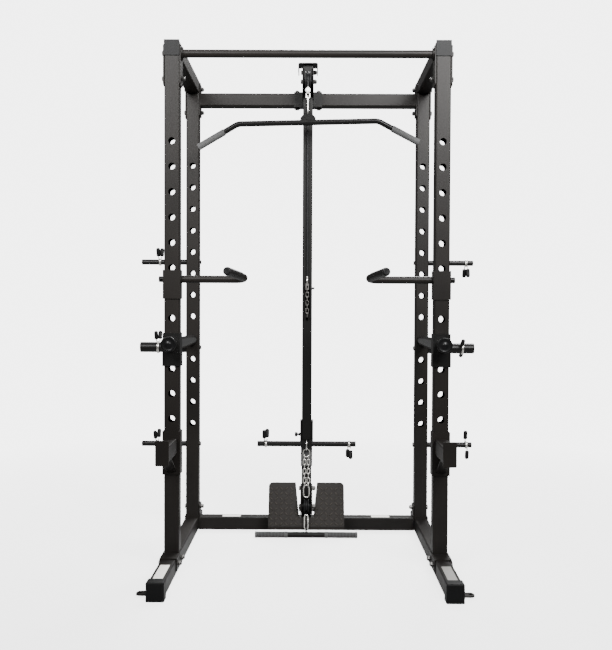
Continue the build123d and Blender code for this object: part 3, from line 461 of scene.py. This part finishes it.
def wire_tree():
    """Sweeps a round section along the path it is given."""
    found = bpy.data.node_groups.get("Wire along a path")
    if found:
        return found
    tree, graph, given = geometry_tree("Wire along a path", (
        ("Radius", "NodeSocketFloat", 0.002), ("Sides", "NodeSocketInt", 12),
        ("Finish", "NodeSocketMaterial", None)))
    section = graph.add("GeometryNodeCurvePrimitiveCircle", {"mode": "RADIUS"},
                        {"Resolution": given["Sides"], "Radius": given["Radius"]})
    swept = graph.add("GeometryNodeCurveToMesh", None,
                      {"Curve": given["Geometry"], "Profile Curve": section, "Fill Caps": True})
    smooth = graph.add("GeometryNodeSetShadeSmooth", None, {"Geometry": swept, "Shade Smooth": True})
    close_tree(graph, smooth, given)
    return tree


def scatter_tree():
    """Sets one small shape at every point, turned by the point's own attribute."""
    found = bpy.data.node_groups.get("Shape at each point")
    if found:
        return found
    tree, graph, given = geometry_tree("Shape at each point", (
        ("Shape", "NodeSocketObject", None), ("Finish", "NodeSocketMaterial", None)))
    shape = graph.add("GeometryNodeObjectInfo", None, {"Object": given["Shape"]}, output="Geometry")
    turn = graph.add("GeometryNodeInputNamedAttribute", {"data_type": "FLOAT_VECTOR"}, {"Name": "turn"})
    placed = graph.add("GeometryNodeInstanceOnPoints", None,
                       {"Points": given["Geometry"], "Instance": shape, "Rotation": turn})
    close_tree(graph, placed, given)
    return tree


def baked(source, tree, **values):
    """Runs a tree on an object and gives back the plain mesh; the source is removed."""
    bpy.context.scene.collection.objects.link(source)
    modifier = source.modifiers.new("Shape", "NODES")
    modifier.node_group = tree
    for item in tree.interface.items_tree:
        if item.in_out == "INPUT" and item.name in values:
            modifier[item.identifier] = values[item.name]
    graph = bpy.context.evaluated_depsgraph_get()
    mesh = bpy.data.meshes.new_from_object(source.evaluated_get(graph))
    bpy.data.objects.remove(source)
    return mesh


def wire(name, points, radius, material, sides=12, closed=False, smooth=True):
    """A round wire through or near the points."""
    curve = bpy.data.curves.new(name, "CURVE")
    curve.dimensions = "3D"
    spline = curve.splines.new("NURBS" if smooth else "POLY")
    spline.points.add(len(points) - 1)
    for point, place in zip(spline.points, points):
        point.co = (*place, 1.0)
    spline.use_cyclic_u = closed
    if smooth:
        spline.order_u = 3
        spline.use_endpoint_u = not closed
        spline.resolution_u = 5
    source = bpy.data.objects.new(name, curve)
    return baked(source, wire_tree(), Radius=radius, Sides=sides, Finish=material)


def oval(centre, across, half_length, half_width):
    """Control points of a rounded loop, long in Z, flat across X or Y."""
    centre = Vector(centre)
    across = Vector(across)
    up = Vector((0, 0, 1))
    loop = [(1, 1), (0.5, 1.18), (-0.5, 1.18), (-1, 1), (-1, 0.3), (-1, -0.3),
            (-1, -1), (-0.5, -1.18), (0.5, -1.18), (1, -1), (1, -0.3), (1, 0.3)]
    return [centre + across * (x * half_width) + up * (z * half_length) for x, z in loop]


# ---------------------------------------------------------------- settings
class CageLooks(bpy.types.PropertyGroup):
    coat_colour: FloatVectorProperty(name="Frame coat", description="Powder coat of the posts and rails",
                                     subtype="COLOR", size=3, min=0, max=1, default=(0.0052, 0.0047, 0.0044))
    coat_warmth: FloatVectorProperty(name="Coat warmth", description="Tone of the coat where it is thick",
                                     subtype="COLOR", size=3, min=0, max=1, default=(0.0068, 0.0058, 0.0051))
    coat_roughness: FloatProperty(name="Coat roughness", description="Gloss of the frame's coat",
                                  subtype="FACTOR", min=0, max=1, default=0.4)
    mast_colour: FloatVectorProperty(name="Mast coat", description="Powder coat of the pulley mast",
                                     subtype="COLOR", size=3, min=0, max=1, default=(0.0062, 0.006, 0.0058))
    part_colour: FloatVectorProperty(name="Part coat", description="Coat of the bars, pegs and guards",
                                     subtype="COLOR", size=3, min=0, max=1, default=(0.0038, 0.0037, 0.0036))
    plate_colour: FloatVectorProperty(name="Foot plate coat", description="Coat of the treaded foot plate",
                                      subtype="COLOR", size=3, min=0, max=1, default=(0.0088, 0.0076, 0.0066))
    chrome_colour: FloatVectorProperty(name="Chrome", description="Tint of the plated rods and rollers",
                                       subtype="COLOR", size=3, min=0, max=1, default=(0.82, 0.82, 0.83))
    rubber_colour: FloatVectorProperty(name="Rubber", description="Grips and collar handles",
                                       subtype="COLOR", size=3, min=0, max=1,
                                       default=(0.0028, 0.0028, 0.0028))
    ball_colour: FloatVectorProperty(name="Cable stop", description="The ball at the cable's end",
                                     subtype="COLOR", size=3, min=0, max=1, default=(0.8, 0.8, 0.78))
    label_colour: FloatVectorProperty(name="Blank label", description="The empty stickers",
                                      subtype="COLOR", size=3, min=0, max=1, default=(0.8, 0.8, 0.77))
    floor_colour: FloatVectorProperty(name="Floor", description="The pale studio floor",
                                      subtype="COLOR", size=3, min=0, max=1, default=(0.9, 0.9, 0.9))
    knurl_pitch: FloatProperty(name="Knurl pitch", description="Distance between knurl ridges",
                               subtype="DISTANCE", unit="LENGTH", min=0.0005, max=0.01, default=0.0034)
    coil_wire: FloatProperty(name="Collar wire radius", description="Radius of the spring collars' wire",
                             subtype="DISTANCE", unit="LENGTH", min=0.001, max=0.004, default=0.0023)
    coil_turns: IntProperty(name="Collar turns", description="Full turns of each spring collar", min=1, max=5,
                            default=2)
    tread_pitch: FloatProperty(name="Tread pitch", description="Spacing of the raised bars on the foot plate",
                               subtype="DISTANCE", unit="LENGTH", min=0.01, max=0.05, default=0.023)
    rib_pitch: FloatProperty(name="Grip rib pitch", description="Spacing of the ribs on the row bar's grips",
                             subtype="DISTANCE", unit="LENGTH", min=0.002, max=0.02, default=0.0065)


FINISH_OF_SLOT = {
    "frame_paint": "frame_coat", "satin_paint": "part_coat", "fasteners": "black_bolts", "chrome": "chrome",
    "black_plastic": "cap_plastic", "liner_plastic": "liner", "rubber": "rubber", "ball_plastic": "ball",
    "cable_jacket": "jacket", "bright_steel": "zinc_wire", "dark_steel": "dark_chain",
    "collar_steel": "zinc_wire",
}
FINISH_OF_NODE = {
    "mast": "mast_coat", "mast_head_plates": "mast_coat", "carriage_sleeve": "part_coat",
    "pull_up_bar": "frame_coat",
    "lat_bar": "bar_coat", "row_bar": "bar_coat", "loading_bar": "bar_coat", "foot_plate": "plate_coat",
    "left_dip_handle": "frame_coat", "right_dip_handle": "frame_coat", "top_pulley": "wheel_plastic",
    "low_pulley": "wheel_plastic", "carriage_riser": "part_coat", "safety_tubes": "dark_chrome",
}


class CAGE_OT_finishes(bpy.types.Operator):
    """Give every post, rail, bar and fitting of the cage its finish"""
    bl_idname = "cage.finishes"
    bl_label = "Finishes"

    def execute(self, context):
        slots = {part["node"]: part["material_slot"] for part in frame["record"]["subparts"]}
        for name, node in frame["nodes"].items():
            material = finish(FINISH_OF_NODE.get(name, FINISH_OF_SLOT[slots[name]]))
            node.data.materials.clear()
            node.data.materials.append(material)
        return {"FINISHED"}


# Each collar: the rod it grips, its axis as (Y, Z), and the lean of its two handles.
COLLARS = {
    "upper_left": (0.0125, 0.45, 1.258, (-24, 20)), "upper_right": (0.0125, 0.45, 1.258, (160, 200)),
    "middle_left": (0.024, 0.45, 0.859, (-22, 22)), "middle_right": (0.024, 0.45, 0.859, (-60, 120)),
    "lower_left": (0.0125, 0.45, 0.405, (-26, 18)), "lower_right": (0.0125, 0.45, 0.405, (-12, 170)),
    "bar_left": (0.0125, 0.3415, 0.424, (-22, 24)), "bar_right": (0.0125, 0.3415, 0.424, (158, 202)),
}


class CAGE_OT_spring_collars(bpy.types.Operator):
    """Wind the spring collars on the plate pegs and on the loading bar"""
    bl_idname = "cage.spring_collars"
    bl_label = "Spring collars"

    def execute(self, context):
        look = context.scene.cage_looks
        for label, (rod, y, z, leans) in COLLARS.items():
            node = f"{label}_collar"
            low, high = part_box(node)
            middle = (low.x + high.x) / 2
            first, second = leans
            radius = (rod + look.coil_wire + 0.0003) * 1.02
            sweep = 360 * look.coil_turns + second - first
            steps = round(sweep / 30)
            rise = 2 * look.coil_wire * look.coil_turns + 0.002

            def around(angle, reach, x):
                return Vector((x, y + reach * sin(radians(angle)), z + reach * cos(radians(angle))))

            x_low, x_high = middle - rise / 2, middle + rise / 2
            path = [around(first, radius + 0.05, x_low), around(first, radius + 0.013, x_low),
                    around(first, radius + 0.004, x_low), around(first + 9, radius + 0.0006, x_low)]
            path += [around(first + sweep * k / steps, radius, x_low + rise * k / steps)
                     for k in range(1, steps)]
            path += [around(second - 9, radius + 0.0006, x_high), around(second, radius + 0.004, x_high),
                     around(second, radius + 0.013, x_high), around(second, radius + 0.05, x_high)]
            meshes = [wire(f"{label}_coil", path, look.coil_wire, finish("zinc_wire"), 10)]
            sleeve = [(0.0, 0.0028), (0.0004, 0.007), (0.002, 0.0089), (0.006, 0.0095), (0.028, 0.0095),
                      (0.035, 0.0089), (0.0385, 0.0068), (0.0398, 0.0034)]
            for angle, x in ((first, x_low), (second, x_high)):
                start = around(angle, radius + 0.0145, x)
                away = around(angle, 1, x) - around(angle, 0, x)
                meshes.append(turned(f"{label}_handle", sleeve, start, away, finish("collar_rubber"), 18))
            shown(f"{label}_spring", joined(f"{label}_spring", meshes), node, "collar_steel", node)
        return {"FINISHED"}


class CAGE_OT_cables(bpy.types.Operator):
    """Run the two strands of the lifting cable as fixed straight wires; they are not made to shorten and
    lengthen as it is pulled
    """
    bl_idname = "cage.cables"
    bl_label = "Cables"

    def execute(self, context):
        for name, node, body in (("lift_cable", "lift_strand", "carriage"),
                                 ("pull_cable", "pull_strand", "lat_hook")):
            low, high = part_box(node)
            x, y = (low.x + high.x) / 2, (low.y + high.y) / 2
            count = 90
            path = [(x, y, high.z + (low.z - high.z) * k / count) for k in range(count + 1)]
            mesh = wire(name, path, (high.x - low.x) / 2, finish("jacket"), 16, smooth=False)
            piece = shown(name, mesh, None, "cable_jacket", node)
            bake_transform(piece)
        low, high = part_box("lift_strand")
        ferrule = [(0, 0.0034), (0.0005, 0.0052), (0.003, 0.0052), (0.004, 0.0046), (0.013, 0.0046),
                   (0.014, 0.0052), (0.018, 0.0052), (0.02, 0.0034)]
        start = ((low.x + high.x) / 2, (low.y + high.y) / 2, low.z - 0.001)
        shown("cable_ferrule", turned("cable_ferrule", ferrule, start, (0, 0, 1), finish("zinc_wire"), 24),
              "carriage", "bright_steel")
        return {"FINISHED"}


def snap_link(name, centre, across, half_length, half_width, radius):
    """A snap link with its gate, hinge rivet and nose, flat across the given direction."""
    steel = finish("zinc_wire")
    centre, across = Vector(centre), Vector(across)
    side = centre + across * half_width
    body = wire(name, oval(centre, across, half_length, half_width), radius, steel, 12, closed=True)
    gate_length = half_length * 1.15
    bottom = side - Vector((0, 0, gate_length / 2))
    fat = radius * 1.22
    gate_form = [(0, radius * 0.8), (0.0006, fat), (gate_length * 0.2, fat),
                 (gate_length * 0.24, radius * 1.05), (gate_length * 0.8, radius * 1.05),
                 (gate_length * 0.84, fat), (gate_length - 0.0006, fat), (gate_length, radius * 0.8)]
    gate = turned(name, gate_form, bottom, (0, 0, 1), steel, 18)
    through = Vector((-across.y, across.x, 0))
    pin_start = bottom + Vector((0, 0, 0.003)) - through * fat * 1.2
    rivet = turned(name, [(0, radius * 0.2), (0.0003, radius * 0.5), (fat * 2.4 - 0.0003, radius * 0.5),
                          (fat * 2.4, radius * 0.2)], pin_start, through, finish("black_bolts"), 14)
    return [body, gate, rivet]


class CAGE_OT_snap_links(bpy.types.Operator):
    """Hang the snap links of the high and the low cable"""
    bl_idname = "cage.snap_links"
    bl_label = "Snap links"

    def execute(self, context):
        steel = finish("zinc_wire")
        low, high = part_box("lat_links")
        y = (low.y + high.y) / 2
        ball_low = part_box("cable_stop")[0].z
        swivel_form = [(0, 0.0022), (0.0006, 0.0046), (0.0026, 0.0046), (0.0032, 0.003), (0.0098, 0.003)]
        swivel = turned("swivel", swivel_form, (0, y, ball_low - 0.0034), (0, 0, 1), steel, 20)
        eye_path = oval((0, y, ball_low - 0.0136), (1, 0, 0), 0.0095, 0.0078)
        eye = wire("eye", eye_path, 0.0024, steel, 12, closed=True)
        centre = (0, y, low.z + 0.0395)
        meshes = [swivel, eye, *snap_link("lat_snap", centre, (0, 1, 0), 0.033, 0.009, 0.0038)]
        shown("lat_snap", joined("lat_snap", meshes), "lat_bar", "bright_steel", "lat_links")
        low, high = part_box("low_link")
        centre = ((low.x + high.x) / 2, (low.y + high.y) / 2, (low.z + high.z) / 2)
        meshes = snap_link("low_snap", centre, (1, 0, 0), 0.0262, 0.008, 0.0034)
        shown("low_snap", joined("low_snap", meshes), "frame", "bright_steel", "low_link")
        ball_low, ball_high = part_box("cable_stop")
        top = Vector((0, y, ball_high.z - 0.0012))
        ring = [(0, 0.004), (0.0004, 0.0072), (0.0022, 0.0072), (0.0032, 0.0042), (0.0052, 0.0038)]
        shown("ball_cap", turned("ball_cap", ring, top, (0, 0, 1), steel, 24), "lat_hook", "bright_steel")
        return {"FINISHED"}


class CAGE_OT_grips(bpy.types.Operator):
    """Fit the grips of the dip handles, with their end plugs, and the grips of the row bar"""
    bl_idname = "cage.grips"
    bl_label = "Grips"

    def execute(self, context):
        look = context.scene.cage_looks
        for side, sign in SIDES:
            tip = Vector((sign * 0.303, -0.32, 1.187))
            bend = Vector((sign * 0.231, -0.15, 1.16))
            away = (tip - bend).normalized()
            grip = [(0, 0.0152), (0.0008, 0.0164), (0.003, 0.0167), (0.112, 0.0167), (0.1145, 0.0163),
                    (0.1155, 0.0152)]
            start = tip - away * 0.117
            meshes = [turned(f"{side}_dip_grip", grip, start, away, finish("knurl"), 40)]
            plug = [(0, 0.0118), (0.0002, 0.0152), (0.0022, 0.0152), (0.0036, 0.0138), (0.004, 0.011),
                    (0.0034, 0.0082), (0.0034, 0.002)]
            plug_start = tip - away * 0.0006
            meshes.append(turned(f"{side}_dip_plug", plug, plug_start, away, finish("cap_plastic"), 32))
            shown(f"{side}_dip_grip", joined(f"{side}_dip_grip", meshes), "frame", "rubber")
        low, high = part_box("row_bar_grips")
        y, z, radius = (low.y + high.y) / 2, (low.z + high.z) / 2, (high.z - low.z) / 2
        groove = 0.0011
        meshes = []
        for _, sign in SIDES:
            profile = [(0, radius * 0.72), (0.0008, radius * 0.94), (0.003, radius), (0.01, radius)]
            ribs = int(0.124 / look.rib_pitch)
            for k in range(ribs):
                at = 0.012 + k * look.rib_pitch
                profile += [(at, radius), (at + look.rib_pitch * 0.25, radius - groove),
                            (at + look.rib_pitch * 0.5, radius - groove),
                            (at + look.rib_pitch * 0.75, radius)]
            profile += [(0.1435, radius), (0.1475, radius * 0.99), (0.15, radius * 0.94)]
            start = (sign * high.x, y, z)
            meshes.append(turned("row_grip", profile, start, (-sign, 0, 0), finish("rubber"), 36))
        shown("row_grips", joined("row_grips", meshes), "row_bar", "rubber", "row_bar_grips")
        return {"FINISHED"}


class CAGE_OT_end_discs(bpy.types.Operator):
    """Cap the safety rods' end discs and fit the carriage's pull pin"""
    bl_idname = "cage.end_discs"
    bl_label = "End discs and pull pin"

    def execute(self, context):
        for side, _ in SIDES:
            low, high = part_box(f"{side}_safety_rod")
            roller_low, roller_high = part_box(f"{side}_catch_roller")
            centre = ((low.x + high.x) / 2, roller_low.y - 0.0004, (roller_low.z + roller_high.z) / 2)
            dish = [(0, 0.0296), (0.0006, 0.0304), (0.0072, 0.0304), (0.0088, 0.0297), (0.0095, 0.0284),
                    (0.0095, 0.0232), (0.0089, 0.0222), (0.0089, 0.0082), (0.0098, 0.0074), (0.0098, 0.002)]
            name = f"{side}_disc_cap"
            mesh = turned(name, dish, centre, (0, -1, 0), finish("gloss_cap"), 48)
            shown(name, mesh, f"{side}_safety", "black_plastic")
        low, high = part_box("carriage_sleeve")
        seat = (low.x + 0.0005, (low.y + high.y) / 2 + 0.005, 0.462)
        knob = [(0, 0.006), (0.0004, 0.0075), (0.006, 0.0075), (0.0065, 0.0045), (0.012, 0.0045),
                (0.0125, 0.0085), (0.015, 0.0105), (0.022, 0.0105), (0.0245, 0.009), (0.0255, 0.005)]
        shown("pull_pin", turned("pull_pin", knob, seat, (-1, 0, 0), finish("gloss_cap"), 28), "carriage",
              "black_plastic")
        return {"FINISHED"}


class CAGE_OT_foot_tread(bpy.types.Operator):
    """Press the raised tread into the foot plate"""
    bl_idname = "cage.foot_tread"
    bl_label = "Foot plate tread"

    def execute(self, context):
        look = context.scene.cage_looks
        low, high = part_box("foot_plate")
        foot, head = Vector((0, 0.3198, 0.048)), Vector((0, 0.3928, 0.235))
        run = (head - foot)
        length = run.length
        along = run.normalized()
        out = Vector((0, -along.z, along.y))
        pitch = look.tread_pitch
        tilt = Matrix((Vector((1, 0, 0)), along, out)).transposed()
        points, turns = [], []
        rows, columns = int(length / pitch), int((high.x - 0.008) / pitch)
        for row in range(rows):
            for column in range(-columns, columns + 1):
                x, s = column * pitch, (row + 0.5) * pitch
                height = foot.z + s * along.z
                slot_half = 0.0325 + (height - 0.086) * 0.121 if height > 0.08 else 0
                near_corner = height > 0.214 and abs(x) > high.x - 0.02
                if abs(x) < slot_half + 0.009 or near_corner:
                    continue
                points.append(foot + Vector((x, 0, 0)) + along * s)
                spin = Matrix.Rotation(radians(45 if (row + column) % 2 else -45), 3, "Z")
                turns.append((tilt @ spin).to_euler())
        shape_mesh = bpy.data.meshes.new("tread_bar")
        half_long, half_wide, rise = pitch * 0.56, pitch * 0.17, 0.0016
        build = bmesh.new()
        rim = [build.verts.new((x * half_long, y * half_wide, 0))
               for x, y in ((1, 0), (0.3, 1), (-0.3, 1), (-1, 0), (-0.3, -1), (0.3, -1))]
        crest = [build.verts.new((x * half_long, y * half_wide, z * rise))
                 for x, y, z in ((0.6, 0, 0.7), (0, 0.35, 1), (-0.6, 0, 0.7), (0, -0.35, 1))]
        for face in ((rim[0], rim[1], crest[0]), (rim[1], crest[1], crest[0]), (rim[1], rim[2], crest[1]),
                     (rim[2], crest[2], crest[1]), (rim[2], rim[3], crest[2]), (rim[3], rim[4], crest[2]),
                     (rim[4], crest[3], crest[2]), (rim[4], rim[5], crest[3]), (rim[5], crest[0], crest[3]),
                     (rim[5], rim[0], crest[0]), (crest[0], crest[1], crest[2], crest[3])):
            build.faces.new(face).smooth = True
        build.faces.new(reversed(rim))
        bmesh.ops.recalc_face_normals(build, faces=build.faces)
        build.to_mesh(shape_mesh)
        build.free()
        shape = bpy.data.objects.new("tread_bar", shape_mesh)
        cloud = bpy.data.meshes.new("tread_points")
        cloud.from_pydata([point - out * 0.0001 for point in points], [], [])
        turn = cloud.attributes.new("turn", "FLOAT_VECTOR", "POINT")
        turn.data.foreach_set("vector", [angle for euler in turns for angle in euler])
        source = bpy.data.objects.new("foot_tread", cloud)
        # The bars take the lighter copy of the plate coat, a painted highlight on the raised tread.
        mesh = baked(source, scatter_tree(), Shape=shape, Finish=finish("lit_tread_coat"))
        bpy.data.objects.remove(shape)
        shown("foot_tread", mesh, "frame", "satin_paint")
        return {"FINISHED"}


class CAGE_OT_welds(bpy.types.Operator):
    """Lay the weld beads round the pull-up bar and the dip handles"""
    bl_idname = "cage.welds"
    bl_label = "Weld beads"

    def execute(self, context):
        low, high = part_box("pull_up_bar")
        middle = Vector((0, (low.y + high.y) / 2, (low.z + high.z) / 2))
        ripples = 18
        seams = []
        for _, sign in SIDES:
            seams.append((Vector((sign * (high.x - 0.006), middle.y, middle.z)), 0.0163))
            seams.append((Vector((sign * 0.5006, -0.15, 1.16)), 0.0153))
        meshes = []
        for centre, radius in seams:
            ring = []
            for k in range(72):
                angle = 2 * pi * k / 72
                reach = radius + 0.0005 * sin(angle * ripples)
                sway = 0.0004 * sin(angle * ripples + 1)
                ring.append(centre + Vector((sway, reach * cos(angle), reach * sin(angle))))
            meshes.append(wire("weld", ring, 0.0024, finish("weld"), 8, closed=True, smooth=False))
        shown("weld_beads", joined("weld_beads", meshes), "frame", "frame_paint")
        return {"FINISHED"}


class CAGE_OT_labels(bpy.types.Operator):
    """Stick the blank labels on the base rails and the bottom crossmember"""
    bl_idname = "cage.labels"
    bl_label = "Blank labels"

    def execute(self, context):
        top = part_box("left_base_rail")[1].z
        paper, corner = 0.0003, 0.003
        meshes = []
        for key, sign in (("label", -1), ("grey_label", 1)):
            place = (sign * UPRIGHT_X, -0.412, top)
            meshes.append(rounded_strip("label", place, 0.036, 0.176, paper, corner, finish(key)))
        cross_y = sum(corner.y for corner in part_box("bottom_crossmember")) / 2
        for x in (-0.352, 0.348):
            place = (x, cross_y, top)
            meshes.append(rounded_strip("label", place, 0.084, 0.036, paper, corner, finish("label")))
        shown("blank_labels", joined("blank_labels", meshes), "frame", "ball_plastic")
        return {"FINISHED"}


class CAGE_OT_studio(bpy.types.Operator):
    """Set up the pale floor, the soft lights and the camera"""
    bl_idname = "cage.studio"
    bl_label = "Studio"

    def execute(self, context):
        scene = context.scene
        mesh = bpy.data.meshes.new("studio_floor")
        reach = 4.0
        mesh.from_pydata([(-reach, -reach, 0), (reach, -reach, 0), (reach, reach, 0), (-reach, reach, 0)], [],
                         [(0, 1, 2, 3)])
        mesh.materials.append(finish("floor"))
        floor = bpy.data.objects.new("studio_floor", mesh)
        scene.collection.objects.link(floor)
        world = bpy.data.worlds.new("studio")
        scene.world = world
        world.use_nodes = True
        graph = Graph(world.node_tree)
        backdrop = world.node_tree.nodes["Background"]
        backdrop.inputs["Color"].default_value = (1.0, 1.0, 1.0, 1.0)
        seen = graph.add("ShaderNodeLightPath", output="Is Camera Ray")
        graph.feed(backdrop.inputs["Strength"], 0.16 + seen * 4.9)
        for name, place, aim, size, power in (
                ("key", (1.6, -2.9, 3.4), (0.35, 0.0, 2.15), 1.8, 145.0),
                ("fill", (-1.7, -2.8, 3.3), (-0.4, 0.0, 2.15), 1.8, 82.0),
                ("rear", (0.7, 3.4, 4.6), (0.0, 0.4, 1.2), 2.2, 150.0),
                ("overhead", (0.0, 0.2, 5.2), (0.0, 0.2, 0.0), 3.0, 24.0)):
            light = bpy.data.lights.new(name, "AREA")
            light.shape = "SQUARE"
            light.size = size
            light.energy = power
            light.spread = radians(80)
            lamp = bpy.data.objects.new(name, light)
            lamp.location = place
            lamp.rotation_euler = (Vector(place) - Vector(aim)).to_track_quat("Z", "Y").to_euler()
            scene.collection.objects.link(lamp)
        lens = bpy.data.cameras.new("camera")
        lens.lens = 47.36
        lens.sensor_width = 36.0
        lens.clip_end = 200.0
        camera = bpy.data.objects.new("camera", lens)
        camera.location = (0.01303, -3.56245, 1.05745)
        level = Euler((pi / 2 - 0.02285, 0.0, 0.00455)).to_matrix()
        camera.rotation_euler = (level @ Matrix.Rotation(0.00419, 3, "Z")).to_euler()
        scene.collection.objects.link(camera)
        scene.camera = camera
        return {"FINISHED"}


class CAGE_PT_panel(bpy.types.Panel):
    """Lists the steps and the settings of the cage"""
    bl_idname = "CAGE_PT_panel"
    bl_label = "Power cage"
    bl_space_type = "VIEW_3D"
    bl_region_type = "UI"
    bl_category = "Cage"

    def draw(self, context):
        column = self.layout.column()
        for step in STEPS:
            column.operator(step.bl_idname)
        looks = context.scene.cage_looks
        for name in CageLooks.__annotations__:
            column.prop(looks, name)


STEPS = (CAGE_OT_finishes, CAGE_OT_spring_collars, CAGE_OT_cables, CAGE_OT_snap_links, CAGE_OT_grips,
         CAGE_OT_end_discs, CAGE_OT_foot_tread, CAGE_OT_welds, CAGE_OT_labels, CAGE_OT_studio)
CLASSES = (CageLooks, *STEPS, CAGE_PT_panel)


def register():
    for cls in CLASSES:
        bpy.utils.register_class(cls)
    bpy.types.Scene.cage_looks = PointerProperty(type=CageLooks)


def unregister():
    del bpy.types.Scene.cage_looks
    for cls in reversed(CLASSES):
        bpy.utils.unregister_class(cls)


def main():
    register()
    for step in STEPS:
        group, name = step.bl_idname.split(".")
        getattr(getattr(bpy.ops, group), name)()


if __name__ == "__main__":
    main()
